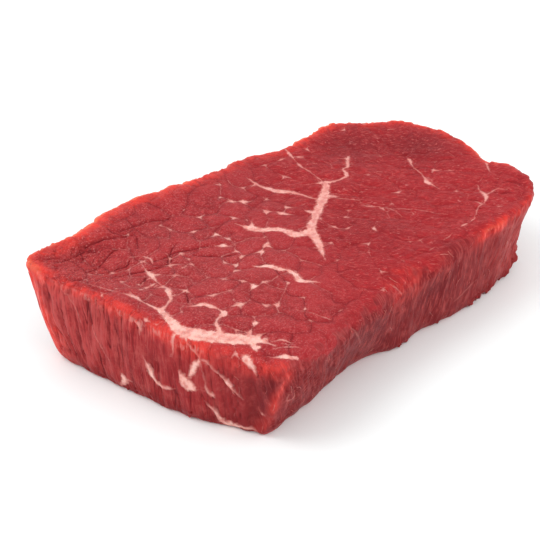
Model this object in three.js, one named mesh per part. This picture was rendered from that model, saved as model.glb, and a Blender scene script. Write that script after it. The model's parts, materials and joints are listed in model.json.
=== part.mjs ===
// A thick-cut raw beef sirloin steak, lying on its flat underside.
// Millimetres, +Z up, +X along the long side, the origin under the middle of its box.
// It is one solid: a flat foot, walls that lean outwards, a soft rim and an uneven top.

import * as THREE from "three";

// Driving sizes
const THICKNESS = 32; // the cut's height over most of its area
const FOOT_ROUND = 1.4; // the small turn from the wall to the flat underside
const FLUTE_DEPTH = 0.45; // grooves between the fibre bundles on the walls
const FRAY_DEPTH = 0.4; // how ragged the lower edge is
const BUNDLE_RELIEF = 0.45; // swelling of the muscle bundles on the top face
const LIP_REACH = 13; // how far in from the rim a raised lip fades out
const NEAR_END_RISE = { height: 2.2, fromX: 40, reach: 55 }; // the top climbs to the near end

// The medial line of the steak, which its walls lean towards
const SPINE = { fromX: 34, toX: 104, y: 50 };
const CENTRE = new THREE.Vector2(72, 50);

// Stations round the rim, counter-clockwise from above: place of the rim, how far it stands
// above the thickness, how far the foot lies inwards of it, how far the wall swells out at
// half its height (or hollows in, below zero), and the radius of its upper edge.
const STATIONS = [
  // the long cut side, from the near corner
  { x: 1, y: -1, lift: -0.5, inset: 5, belly: 1, edge: 2.0 },
  { x: 10, y: -4.5, lift: -0.8, inset: 9, belly: 1, edge: 3.0 },
  { x: 27, y: -3.5, lift: -1.2, inset: 8, belly: 0.5, edge: 4.5 },
  { x: 42, y: -2, lift: -1.5, inset: 8.5, belly: 0.5, edge: 6.0 },
  { x: 57, y: -2, lift: -1.0, inset: 8.5, belly: 0.5, edge: 6.5 },
  { x: 71, y: -1, lift: -0.5, inset: 2, belly: 0, edge: 6.0 },
  { x: 86, y: -3, lift: 0, inset: 4, belly: 0, edge: 5.0 },
  { x: 104, y: -3.5, lift: 0, inset: 1, belly: 0.5, edge: 4.0 },
  { x: 118, y: -4, lift: 0.5, inset: 2, belly: 0.5, edge: 3.0 },
  { x: 132, y: -4.5, lift: 0.3, inset: 3.5, belly: 0, edge: 2.5 },
  { x: 147, y: -2.5, lift: 0.2, inset: 5, belly: -1.5, edge: 2.2 },
  // the far end
  { x: 157, y: 3.5, lift: 0.6, inset: 7.5, belly: -3, edge: 2.2 },
  { x: 162.5, y: 16, lift: 0.9, inset: 9.5, belly: -3, edge: 2.0 },
  { x: 160.5, y: 27, lift: 0, inset: 8, belly: -2, edge: 2.4 },
  { x: 164.5, y: 38, lift: 0.8, inset: 9, belly: -1, edge: 2.2 },
  { x: 168, y: 56, lift: 0.8, inset: 10, belly: 0, edge: 2.2 },
  { x: 164, y: 71, lift: 1.0, inset: 10, belly: 0.5, edge: 2.2 },
  { x: 154.5, y: 82, lift: 0.8, inset: 9, belly: 0.5, edge: 2.2 },
  { x: 143.5, y: 92.5, lift: 1.0, inset: 9, belly: 1, edge: 2.2 },
  // the long side at the back
  { x: 125, y: 93.5, lift: 1.0, inset: 7, belly: 1, edge: 2.0 },
  { x: 110, y: 94.5, lift: 0.8, inset: 7, belly: 0.5, edge: 2.0 },
  { x: 98, y: 99.5, lift: 1.2, inset: 8, belly: 1, edge: 1.8 },
  { x: 79, y: 100.5, lift: 1.6, inset: 8, belly: 1, edge: 1.8 },
  { x: 60, y: 104, lift: 2.6, inset: 9, belly: 1, edge: 1.8 },
  { x: 42, y: 107, lift: 3.3, inset: 10, belly: 1, edge: 1.8 },
  { x: 28, y: 107, lift: 3.8, inset: 11, belly: 1, edge: 1.8 },
  { x: 13, y: 103.5, lift: 4.6, inset: 11, belly: 1, edge: 1.8 },
  { x: -3, y: 103, lift: 5.4, inset: 12, belly: 1, edge: 1.8 },
  // the near end
  { x: -14.5, y: 102.3, lift: 5.6, inset: 11.5, belly: 2.2, edge: 1.3 },
  { x: -17, y: 93, lift: 5.4, inset: 4.5, belly: 2.2, edge: 1.5 },
  { x: -16, y: 80, lift: 4.8, inset: 2.5, belly: 1.2, edge: 1.8 },
  { x: -13.5, y: 66, lift: 4.2, inset: 0.5, belly: 1, edge: 2.2 },
  { x: -12, y: 51, lift: 3.4, inset: 0.5, belly: 1, edge: 2.4 },
  { x: -10.5, y: 37, lift: 2.6, inset: 0.5, belly: 1, edge: 2.4 },
  { x: -8, y: 25, lift: 1.6, inset: 1, belly: 1, edge: 2.2 },
  { x: -4, y: 14, lift: 0.6, inset: 1.5, belly: 0.5, edge: 2.0 },
];

// Broad hollows and swells of the top face: place, reach and height
const TOP_SWELLS = [
  { x: 4, y: 84, reach: 15, height: -2.6 },
  { x: 30, y: 88, reach: 22, height: 0.9 },
  { x: 22, y: 30, reach: 24, height: 0.8 },
  { x: 66, y: 40, reach: 20, height: 0.6 },
  { x: 112, y: 30, reach: 20, height: -0.9 },
  { x: 138, y: 64, reach: 17, height: -1.2 },
  { x: 112, y: 72, reach: 22, height: 0.8 },
  { x: 78, y: 12, reach: 13, height: -0.8 },
];

// The near corner stands out as a ridge, and beside it the end wall folds in. Each runs up the
// wall at a distance from the corner, taken at half the height, and leans over as it rises.
const RIDGE = { fromCorner: 1, halfWidth: 1.8, height: 1.7, lean: -5 };
const CREASE = { fromCorner: 6, halfWidth: 2.8, depth: 2.9, lean: 2, closesAt: 0.91 };

// Waves round the rim, each with its count, its phase and its weight. The flutes are the
// fibre bundles that stand on the walls, and the fray is the torn line of the lower edge.
const FLUTE_WAVES = [[29, 0.4, 0.5], [41, 2.1, 0.45], [53, 4.0, 0.35], [17, 1.3, 0.5]];
const FRAY_WAVES = [[47, 0.9, 0.5], [67, 3.3, 0.4], [31, 5.1, 0.4]];
const FLUTE_LEAN = 0.004; // share of the rim that a flute leans over as it rises
const FLUTE_MARGIN = 0.15; // share of a flute's swell cut off at the foot and at the top
const FLUTE_AT_EDGE = 0.45; // how much of a flute is left where the upper edge starts
const FRAY_FADE = 3; // the power at which the fray dies out above the foot

// Muscle bundles of the top face. A wave's length is 2π times these, and the bends make the
// rows of bundles wander.
const SMALL_BUNDLES = { x: 4.3, y: 3.7, bendX: 7.7, bendY: 9.1, bend: 1.5, weight: 0.7 };
const LARGE_BUNDLES = { x: 9.7, y: 8.3, skewX: 21, skewY: 13.1, shift: 0.8, weight: 0.9 };

// Mesh counts
const COLUMNS = 224;
const CLOSER_AT_CORNER = 0.35; // share by which the columns stand closer at the near corner
const WALL_LEVELS = [0.08, 0.2, 0.34, 0.48, 0.62, 0.76, 0.89, 1];
const EDGE_STEPS = 3;

const TAU = Math.PI * 2;

// A smooth closed curve through one pair of the stations' values.
function stationCurve(pair) {
  const points = STATIONS.map((s) => new THREE.Vector3(...pair(s), 0));
  return new THREE.CatmullRomCurve3(points, true, "centripetal");
}

const rimCurve = stationCurve((s) => [s.x, s.y]);
const heightCurve = stationCurve((s) => [s.lift, s.inset]);
const profileCurve = stationCurve((s) => [s.edge, s.belly]);

// The point on the medial line that a rim point leans towards.
function spinePoint(rim) {
  const x = THREE.MathUtils.clamp(rim.x, SPINE.fromX, SPINE.toX);
  return new THREE.Vector2(x, SPINE.y);
}

// A wandering value round the rim, from a few waves that close on themselves.
function ripple(share, waves) {
  return waves.reduce((sum, [count, phase, weight]) => {
    return sum + weight * Math.sin(TAU * count * share + phase);
  }, 0);
}

// How far a flute stands out of the wall, leaning a little as it rises.
function flute(share, rise) {
  return FLUTE_DEPTH * ripple(share + FLUTE_LEAN * rise, FLUTE_WAVES);
}

// How far the torn lower edge stands out.
function fray(share) {
  return FRAY_DEPTH * ripple(share, FRAY_WAVES);
}

// Everything that one column of the mesh needs to know about the rim where it stands.
function columnAt(share) {
  const t = rimCurve.getUtoTmapping(share);
  const rim3 = rimCurve.getPoint(t);
  const heights = heightCurve.getPoint(t);
  const profile = profileCurve.getPoint(t);
  const rim = new THREE.Vector2(rim3.x, rim3.y);
  const inward = spinePoint(rim).sub(rim).normalize();
  return {
    share,
    rim,
    inward,
    height: THICKNESS + heights.x,
    inset: heights.y,
    edge: profile.x,
    belly: profile.y,
    fromCorner: (share < 0.5 ? -share : 1 - share) * rimCurve.getLength(),
  };
}

// How much of a fold that runs up the wall there is at this point.
function foldShare(fold, column, rise) {
  const middle = fold.fromCorner + fold.lean * (rise - 0.5);
  const across = (column.fromCorner - middle) / fold.halfWidth;
  return Math.exp(-across * across);
}

// How far the corner's ridge stands out.
function ridgeAt(column, rise) {
  return RIDGE.height * foldShare(RIDGE, column, rise);
}

// How far the crease pushes a wall point inwards.
function creaseAt(column, rise) {
  const opening = Math.sin(Math.PI * Math.min(1, rise / CREASE.closesAt));
  return CREASE.depth * foldShare(CREASE, column, rise) * opening;
}

// A point of the column, so far inwards of its rim and so high.
function place(column, inwards, height) {
  const point = column.inward.clone().multiplyScalar(inwards).add(column.rim);
  return new THREE.Vector3(point.x, point.y, height);
}

// One ring of the wall, at a share of its height below the rounded edge.
function wallPoint(column, rise) {
  const top = column.height - column.edge;
  const height = FOOT_ROUND + rise * (top - FOOT_ROUND);
  const belly = column.belly * Math.sin(Math.PI * rise);
  const ragged = fray(column.share) * Math.pow(1 - rise, FRAY_FADE);
  const swell = Math.sin(Math.PI * THREE.MathUtils.lerp(FLUTE_MARGIN, 1 - FLUTE_MARGIN, rise));
  const grooved = flute(column.share, rise) * swell;
  const lean = column.inset * (1 - rise);
  const folded = creaseAt(column, rise) - ridgeAt(column, rise);
  return place(column, lean - belly - ragged - grooved + folded, height);
}

// One ring of the rounded upper edge, from the wall (0) to the top face (1).
function edgePoint(column, turn) {
  const angle = (turn * Math.PI) / 2;
  const inwards = column.edge * (1 - Math.cos(angle));
  const height = column.height - column.edge * (1 - Math.sin(angle));
  const grooved = flute(column.share, 1) * FLUTE_AT_EDGE + ridgeAt(column, 1);
  return place(column, inwards - grooved * (1 - turn), height);
}

// Muscle bundles make the top face gently lumpy.
function bundles(x, y) {
  const small = SMALL_BUNDLES;
  const alongX = Math.sin(x / small.x + small.bend * Math.sin(y / small.bendY));
  const alongY = Math.sin(y / small.y + small.bend * Math.sin(x / small.bendX));
  const large = LARGE_BUNDLES;
  const slanted = Math.sin(x / large.x - y / large.skewY + large.shift);
  const crossed = Math.cos(y / large.y + x / large.skewX);
  return BUNDLE_RELIEF * (small.weight * alongX * alongY + large.weight * slanted * crossed);
}

// Height of the top face away from the rim.
function topHeight(x, y) {
  const swell = TOP_SWELLS.reduce((sum, s) => {
    const far = ((x - s.x) ** 2 + (y - s.y) ** 2) / s.reach ** 2;
    return sum + s.height * Math.exp(-far);
  }, 0);
  const climb = THREE.MathUtils.smoothstep(NEAR_END_RISE.fromX - x, 0, NEAR_END_RISE.reach);
  return THICKNESS + swell + NEAR_END_RISE.height * climb + bundles(x, y);
}

// A point of the top face, at a share of the way from the centre to the inner rim.
function topPoint(column, share) {
  const inner = edgePoint(column, 1);
  const x = CENTRE.x + (inner.x - CENTRE.x) * share;
  const y = CENTRE.y + (inner.y - CENTRE.y) * share;
  const fromRim = Math.hypot(inner.x - x, inner.y - y);
  const lip = Math.exp(-((fromRim / LIP_REACH) ** 2));
  return new THREE.Vector3(x, y, THREE.MathUtils.lerp(topHeight(x, y), column.height, lip));
}

// A point of the flat underside.
function footPoint(column, share) {
  const outwards = fray(column.share) + ridgeAt(column, 0);
  const outer = place(column, column.inset + FOOT_ROUND - outwards, 0);
  return new THREE.Vector3(
    CENTRE.x + (outer.x - CENTRE.x) * share,
    CENTRE.y + (outer.y - CENTRE.y) * share,
    0,
  );
}

// A column's share of the rim, which starts and ends at the near corner.
function columnShare(index) {
  const even = index / COLUMNS;
  return even - (CLOSER_AT_CORNER * Math.sin(TAU * even)) / TAU;
}

const columns = Array.from({ length: COLUMNS }, (_, i) => columnAt(columnShare(i)));

// Rings are made from the middle of the underside, out, up and back to the middle of the top.
// A face's inner rings use every second, fourth or eighth column, so its triangles stay even.
const rings = [];

function addRing(pointOf, stride = 1) {
  rings.push({ stride, points: columns.filter((_, i) => i % stride === 0).map(pointOf) });
}

const FACE_RINGS = [
  { upTo: 0.2, step: 0.08, stride: 16 },
  { upTo: 0.5, step: 0.065, stride: 4 },
  { upTo: 0.8, step: 0.052, stride: 2 },
  { upTo: 0.999, step: 0.046, stride: 1 },
];

// The shares at which a face has rings, from its centre to its edge.
function faceShares(coarseness) {
  const shares = [];
  let share = 0;
  for (const band of FACE_RINGS) {
    while (share + band.step * coarseness < band.upTo) {
      share += band.step * coarseness;
      shares.push({ share, stride: band.stride });
    }
  }
  return shares;
}

const UNDERSIDE_COARSENESS = 3;
for (const { share, stride } of faceShares(UNDERSIDE_COARSENESS)) {
  addRing((column) => footPoint(column, share), stride);
}
addRing((column) => footPoint(column, 1));
for (const rise of WALL_LEVELS) {
  addRing((column) => wallPoint(column, rise));
}
for (let step = 1; step <= EDGE_STEPS; step += 1) {
  addRing((column) => edgePoint(column, step / EDGE_STEPS));
}
for (const { share, stride } of faceShares(1).reverse()) {
  addRing((column) => topPoint(column, share), stride);
}

// Triangles between two rings, of which either may have more points than the other.
function bridge(lower, upper, faces) {
  const fine = Math.min(lower.stride, upper.stride);
  const at = (ring, column) => ring.first + Math.floor((column % COLUMNS) / ring.stride);
  for (let i = 0; i < COLUMNS; i += fine) {
    const [a, b] = [at(lower, i), at(lower, i + fine)];
    const [c, d] = [at(upper, i), at(upper, i + fine)];
    if (a !== b) {
      faces.push(a, b, d);
    }
    if (c !== d) {
      faces.push(a, d, c);
    }
  }
}

// The fan of triangles that closes an innermost ring with its tip.
function closeRing(ring, tip, facesDown, faces) {
  ring.points.forEach((_, i) => {
    const a = ring.first + i;
    const b = ring.first + ((i + 1) % ring.points.length);
    faces.push(...(facesDown ? [b, a, tip] : [a, b, tip]));
  });
}

function buildGeometry() {
  const positions = [];
  const faces = [];
  for (const ring of rings) {
    ring.first = positions.length / 3;
    ring.points.forEach((p) => positions.push(p.x, p.y, p.z));
  }
  for (let i = 1; i < rings.length; i += 1) {
    bridge(rings[i - 1], rings[i], faces);
  }
  const underTip = positions.length / 3;
  positions.push(CENTRE.x, CENTRE.y, 0);
  positions.push(CENTRE.x, CENTRE.y, topHeight(CENTRE.x, CENTRE.y));
  closeRing(rings[0], underTip, true, faces);
  closeRing(rings[rings.length - 1], underTip + 1, false, faces);
  const geometry = new THREE.BufferGeometry();
  geometry.setAttribute("position", new THREE.Float32BufferAttribute(positions, 3));
  geometry.setIndex(faces);
  return geometry;
}

// The origin goes under the middle of the box.
function centred(geometry) {
  geometry.computeBoundingBox();
  const middle = geometry.boundingBox.getCenter(new THREE.Vector3());
  geometry.translate(-middle.x, -middle.y, -geometry.boundingBox.min.z);
  geometry.computeVertexNormals();
  return geometry;
}

const rawBeef = new THREE.MeshStandardMaterial({ color: 0xb24a4c, roughness: 0.45, metalness: 0 });

const steak = new THREE.Mesh(centred(buildGeometry()), rawBeef);
steak.name = "sirloin_steak";

const group = new THREE.Group();
group.name = "beef_sirloin";
group.add(steak);

export default group;
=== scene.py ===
# %% [markdown]
# # A raw beef sirloin steak
#
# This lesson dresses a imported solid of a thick-cut raw steak. The solid gives the true outline,
# the leaning walls and the crease beside the near corner. What is added here is what a butcher's
# knife and the muscle leave on it: bundles and fibres, cracks, seams of fat, and the frayed edge.

# %% Load the solid
import json
import math

import bmesh
import bpy
import numpy as np
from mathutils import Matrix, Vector
from mathutils.bvhtree import BVHTree
from mathutils.kdtree import KDTree

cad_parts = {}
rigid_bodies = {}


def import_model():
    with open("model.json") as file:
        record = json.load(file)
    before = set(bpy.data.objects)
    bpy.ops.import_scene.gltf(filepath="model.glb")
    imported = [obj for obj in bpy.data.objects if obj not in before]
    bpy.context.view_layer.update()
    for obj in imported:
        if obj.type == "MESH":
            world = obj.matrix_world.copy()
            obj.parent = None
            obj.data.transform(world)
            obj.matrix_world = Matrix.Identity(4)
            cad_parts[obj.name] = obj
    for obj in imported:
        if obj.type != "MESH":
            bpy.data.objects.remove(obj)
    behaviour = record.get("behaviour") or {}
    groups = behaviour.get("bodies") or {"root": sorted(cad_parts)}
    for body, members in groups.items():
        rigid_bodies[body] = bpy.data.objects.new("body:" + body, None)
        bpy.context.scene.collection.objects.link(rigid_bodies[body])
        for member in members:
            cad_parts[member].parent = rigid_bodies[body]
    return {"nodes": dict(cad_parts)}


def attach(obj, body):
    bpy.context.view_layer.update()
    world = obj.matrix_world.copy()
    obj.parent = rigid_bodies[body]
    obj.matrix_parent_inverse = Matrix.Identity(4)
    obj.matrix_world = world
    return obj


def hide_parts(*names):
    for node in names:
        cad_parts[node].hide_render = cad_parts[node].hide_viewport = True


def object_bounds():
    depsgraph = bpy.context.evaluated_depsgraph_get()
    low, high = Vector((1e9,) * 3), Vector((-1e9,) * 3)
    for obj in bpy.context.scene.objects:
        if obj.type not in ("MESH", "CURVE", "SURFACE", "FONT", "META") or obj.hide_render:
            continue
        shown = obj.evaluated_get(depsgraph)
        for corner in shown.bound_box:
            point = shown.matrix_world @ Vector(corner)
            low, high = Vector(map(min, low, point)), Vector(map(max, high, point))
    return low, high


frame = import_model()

MM = 0.001
CAD_BOX = [list(corner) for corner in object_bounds()]
LOW, HIGH = (np.array(corner) / MM for corner in CAD_BOX)
SIZE = HIGH - LOW
THICKNESS = 32.0  # mm, the cut's height over most of its area
print("steak, mm:", SIZE.round(1))

# %% [markdown]
# ## Small helpers
#
# Colours are read off as sRGB hex values, but the renderer wants linear light, so one function
# turns them. Node trees are long, and one function that adds a node with its settings and its
# links keeps each of them readable. The others make, settle, read and measure meshes, find the
# nearest of some places, and ease a share from 0 to 1.

# %% Helpers
def linear(hex_colour):
    """An sRGB hex colour as the linear colour that a socket takes."""
    parts = [int(hex_colour[i:i + 2], 16) / 255 for i in (1, 3, 5)]
    return (*[c / 12.92 if c <= 0.04045 else ((c + 0.055) / 1.055) ** 2.4 for c in parts], 1.0)


def put(tree, kind, inputs=None, **settings):
    """Adds a node. A value in inputs is a socket, a node (its first live output) or a constant."""
    node = tree.nodes.new(kind)
    for name, value in settings.items():
        setattr(node, name, value)
    for name, value in (inputs or {}).items():
        if isinstance(value, bpy.types.Node):
            value = next(out for out in value.outputs if out.enabled)
        if isinstance(value, bpy.types.NodeSocket):
            tree.links.new(value, node.inputs[name])
        else:
            node.inputs[name].default_value = value
    return node


def new_piece(name, mesh):
    """An object at the origin, unturned and unscaled, that holds the mesh."""
    piece = bpy.data.objects.new(name, mesh)
    bpy.context.scene.collection.objects.link(piece)
    return piece


def settle(piece):
    """Bakes a piece's modifiers into a plain mesh."""
    seen = piece.evaluated_get(bpy.context.evaluated_depsgraph_get())
    mesh = bpy.data.meshes.new_from_object(seen)
    piece.modifiers.clear()
    piece.data = mesh
    return mesh


def read_vertices(mesh):
    """The places of a mesh's vertices and their normals, in mm."""
    count = len(mesh.vertices)
    points, normals = np.empty(count * 3), np.empty(count * 3)
    mesh.vertices.foreach_get("co", points)
    mesh.vertex_normals.foreach_get("vector", normals)
    return points.reshape(-1, 3) / MM, normals.reshape(-1, 3)


def triangles(mesh):
    return sum(len(polygon.vertices) - 2 for polygon in mesh.polygons)


def search_tree(places):
    """Finds the nearest of the places."""
    tree = KDTree(len(places))
    for index, place in enumerate(places):
        tree.insert(place, index)
    tree.balance()
    return tree


def smooth_step(low, high, value):
    """0 at low, 1 at high, and an eased ramp between them."""
    share = np.clip((value - low) / (high - low), 0, 1)
    return share * share * (3 - 2 * share)


# %% [markdown]
# ## The camera
#
# The picture is taken from in front of the near corner, a little over half a metre away, looking
# down at about 33 degrees with a long lens, so that the far end is hardly smaller.

# %% Camera
CAMERA_AZIMUTH = math.radians(-48.43)
CAMERA_ELEVATION = math.radians(33.0)
CAMERA_DISTANCE = 599.0 * MM
CAMERA_TARGET = Vector((4.56, 19.73, 0.0)) * MM
FIELD_OF_VIEW = math.radians(20.0)
CAMERA_SEES = (0.01, 20)  # metres, from the nearest to the farthest thing


def make_camera():
    camera = bpy.data.objects.new("camera", bpy.data.cameras.new("camera"))
    bpy.context.scene.collection.objects.link(camera)
    flat = math.cos(CAMERA_ELEVATION)
    back = Vector((math.sin(CAMERA_AZIMUTH) * flat, -math.cos(CAMERA_AZIMUTH) * flat,
                   math.sin(CAMERA_ELEVATION)))
    camera.location = CAMERA_TARGET + back * CAMERA_DISTANCE
    camera.rotation_mode = "QUATERNION"
    camera.rotation_quaternion = (-back).to_track_quat("-Z", "Y")
    camera.data.angle = FIELD_OF_VIEW
    camera.data.clip_start, camera.data.clip_end = CAMERA_SEES
    bpy.context.scene.camera = camera


make_camera()

# %% [markdown]
# ## The body of the meat
#
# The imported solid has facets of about 3 mm, which is right for its form but too coarse for
# muscle. A voxel remesh of a copy gives even squares that can carry relief anywhere, and a few
# rounds of smoothing take out the facets and the voxel steps. Subdividing the facets would keep
# their long thin shapes on the underside, so the remesh is the better way.

# %% Body mesh
VOXEL = 0.88  # mm
WELD = 0.01  # mm, corners of facets that are nearer than this are one
SMOOTHING = (0.5, 6)  # the strength of a round of smoothing, and the rounds


def even_copy(node):
    piece = new_piece("steak_body", node.data.copy())
    weld = piece.modifiers.new("weld", "WELD")
    weld.merge_threshold = WELD * MM
    settle(piece)
    remesh = piece.modifiers.new("remesh", "REMESH")
    remesh.mode = "VOXEL"
    remesh.voxel_size = VOXEL * MM
    smooth = piece.modifiers.new("smooth", "SMOOTH")
    smooth.factor, smooth.iterations = SMOOTHING
    settle(piece)
    return piece


steak = even_copy(frame["nodes"]["sirloin_steak"])
points, normals = read_vertices(steak.data)
print("even body:", len(points), "vertices")

# %% [markdown]
# ## Seams of fat
#
# Fat lies in thin sheets between the muscle bundles, and the knife shows each sheet as a vein.
# The large ones are listed as routes over the top face or the walls with a half width at each
# point, all in millimetres. They are dropped onto the surface, so they fit it from any side.
# Painting them as an image would tie them to one view, and a noise alone has no trunk and
# branches.

# %% Veins of the top face
# Each point is x, y and the half width.
TOP_VEINS = {
    "trunk": [(-15.5, -24.5, 0.15), (-13, -21.5, 0.55), (-11, -19, 0.95), (-8.2, -15.3, 1.4),
              (-5.7, -11, 1.8), (-3.8, -8, 1.9), (0, -5, 1.6), (4, -3, 1.4), (8, -0.5, 1.8),
              (13, 2, 1.5), (16, 3.5, 1.9), (21, 6.5, 1.7), (25, 9, 1.4), (27, 11.5, 1.1)],
    "trunk_lobe": [(8, -0.5, 1.5), (7, 2.2, 1.0), (6.5, 4, 0.3)],
    "trunk_spur": [(21, 4, 1.0), (23, 1, 0.2)],
    "trunk_top": [(23.5, 15, 0.2), (27, 11.5, 1.0), (30, 9.5, 0.6), (35, 8.5, 0.7), (38, 9.5, 0.9),
                  (40, 13, 0.6), (43, 13, 0.7), (48.5, 17.5, 0.8), (51, 18.5, 0.3)],
    "trunk_tip": [(48.5, 17.5, 0.7), (47, 20, 0.2)],
    "trunk_left": [(-4.5, -8, 1.8), (-8, -6.5, 1.7), (-10, -4.5, 1.8), (-10, -1, 1.4),
                   (-11, 3, 1.4), (-14, 7, 1.3), (-16, 11, 1.6), (-17, 14, 0.6), (-18, 17, 0.2)],
    "trunk_left_spur": [(-16, 11, 1.1), (-12.5, 13.5, 0.3), (-11, 15, 0.1)],
    "upper_left": [(10, 37, 0.25), (9, 31, 0.7), (9, 27, 0.8), (11.5, 21, 1.3), (14, 17, 0.9),
                   (15, 12, 0.6), (15.5, 7, 0.5), (17, 3.5, 0.8)],
    "upper_left_spur": [(9, 31, 0.7), (5.5, 30.5, 0.15)],
    "diagonal": [(37, 40, 0.5), (35, 36, 0.7), (32, 30, 0.2), (31, 28, 0.6), (29.5, 21, 0.3),
                 (28, 15, 0.35), (27, 12, 0.3)],
    "middle": [(-35.5, -7, 0.25), (-34, -9.5, 0.8), (-31.5, -12, 1.3), (-31, -15.5, 1.1),
               (-29, -18, 0.9), (-29, -22, 1.1), (-31, -26, 1.4), (-29, -29, 0.7),
               (-27.5, -32, 0.2)],
    "front": [(-79, -5.9, 1.2), (-80, -9.5, 1.4), (-81, -13, 1.7), (-82, -16.5, 2.2),
              (-81, -20, 2.6), (-79.3, -23.5, 2.7), (-77, -27, 2.7), (-74.5, -30.5, 2.6),
              (-71.5, -34, 2.5), (-69.5, -36.5, 2.3), (-68, -38.5, 1.8)],
    "front_star_up": [(-68, -35.5, 1.2), (-66.5, -34.5, 0.8), (-64, -33, 0.2)],
    "front_star_right": [(-67.5, -37.5, 1.2), (-65.5, -37.8, 0.7), (-62.8, -38.4, 0.2)],
    "front_star_out": [(-68, -39, 1.3), (-67, -41, 0.8), (-66, -44, 0.5), (-65.5, -46, 0.15)],
    "front_star_down": [(-69.5, -38.5, 1.4), (-71, -40.5, 1.0), (-72, -42.5, 0.4)],
    "front_tail": [(-86, 27, 0.2), (-84.5, 21, 0.3), (-83, 16, 0.35), (-81, 11, 0.35),
                   (-79.5, 6.4, 0.9), (-79.5, 3, 0.5), (-79.4, 0, 0.6), (-79, -3, 0.8),
                   (-79, -6, 1.3)],
    "front_tail_spur": [(-79.5, 6.4, 0.8), (-78.5, 9.5, 0.3), (-77.5, 11, 0.15)],
    "front_spur": [(-79, -5.5, 1.0), (-75, -4, 0.6), (-71, -2, 0.7), (-69, 0.5, 0.9),
                   (-67.5, 2.5, 1.2), (-66, 5, 0.45), (-66, 9, 0.35), (-64.5, 13, 0.9),
                   (-63, 16, 1.0), (-62, 19, 0.5), (-60.5, 22.5, 0.3)],
    "high_hair": [(-60, 30, 0.15), (-57, 27, 0.35), (-56, 23, 0.5), (-57.5, 20, 0.2)],
    "corner_curl": [(-71.5, -46.5, 0.2), (-70, -48.5, 0.5), (-67.5, -50.5, 1.0), (-65.5, -53, 0.8),
                    (-65.5, -54.5, 0.2)],
    "corner_curl_2": [(-68, -45.5, 0.15), (-64.5, -47, 0.4), (-61.5, -49.5, 0.3),
                      (-60, -51.5, 0.15)],
    "hook": [(-74.5, -29.5, 1.5), (-72.5, -26, 0.9), (-70, -22.5, 0.7), (-67, -21.5, 0.8),
             (-65, -21.5, 1.1), (-64, -18, 0.5), (-64.5, -15, 0.9), (-65.5, -12, 1.0),
             (-69, -10.5, 0.5), (-71, -9, 0.15)],
    "right_dash": [(-65.5, -42.5, 0.15), (-62, -45, 0.5), (-60, -48, 0.25)],
    "low_dash": [(-46, -37, 0.15), (-44, -40, 0.3), (-41, -46, 0.4), (-40, -48, 0.15)],
    "far_short": [(66, 1, 0.2), (65, -1, 0.8), (62, -4.5, 0.4), (59.5, -10, 0.4), (57, -14.5, 0.6),
                  (55, -17, 1.2), (54.5, -20, 0.5), (54, -24, 0.2)],
    "far_bend": [(66, -33, 0.25), (63, -36, 0.5), (61, -40, 0.9), (57, -42.5, 0.5), (52, -43, 0.4),
                 (47, -45.5, 0.25)],
    "far_bend_link": [(46.5, -45.5, 0.2), (43.5, -47, 0.45), (40.5, -47, 0.25)],
    "far_bend_tail": [(40, -47, 0.15), (38, -46.7, 0.7), (35.5, -46.5, 0.15)],
    "far_bend_dash": [(30, -46.8, 0.1), (27, -47, 0.5), (24, -47.2, 0.1)],
    "far_bend_speck": [(19, -47.5, 0.1), (17, -47.5, 0.4), (15, -47.5, 0.1)],
    "far_bend_tip": [(61, -40, 0.6), (67.5, -40.5, 0.35), (70, -44, 0.2)],
    "grain_line": [(25, -8, 0.2), (26, -11, 0.5), (29, -15, 0.4), (30, -20, 0.3),
                   (28.5, -25, 0.15)],
    "grain_line_2": [(30, -18, 0.2), (34, -23, 0.3), (38, -31, 0.3), (40, -36, 0.15)],
    "grain_line_3": [(20, 3, 0.3), (24, -2, 0.35), (27, -6, 0.25)],
    "notch": [(82, -26, 0.6), (78.5, -29, 0.5), (77, -31, 0.15)],
}

# %% [markdown]
# ## Veins of the walls
#
# A sheet of fat that meets the rim goes on down the wall. On the near end it spills over the edge
# below the thick vein, fans out into thin seams, and swells where two of them meet.

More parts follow.
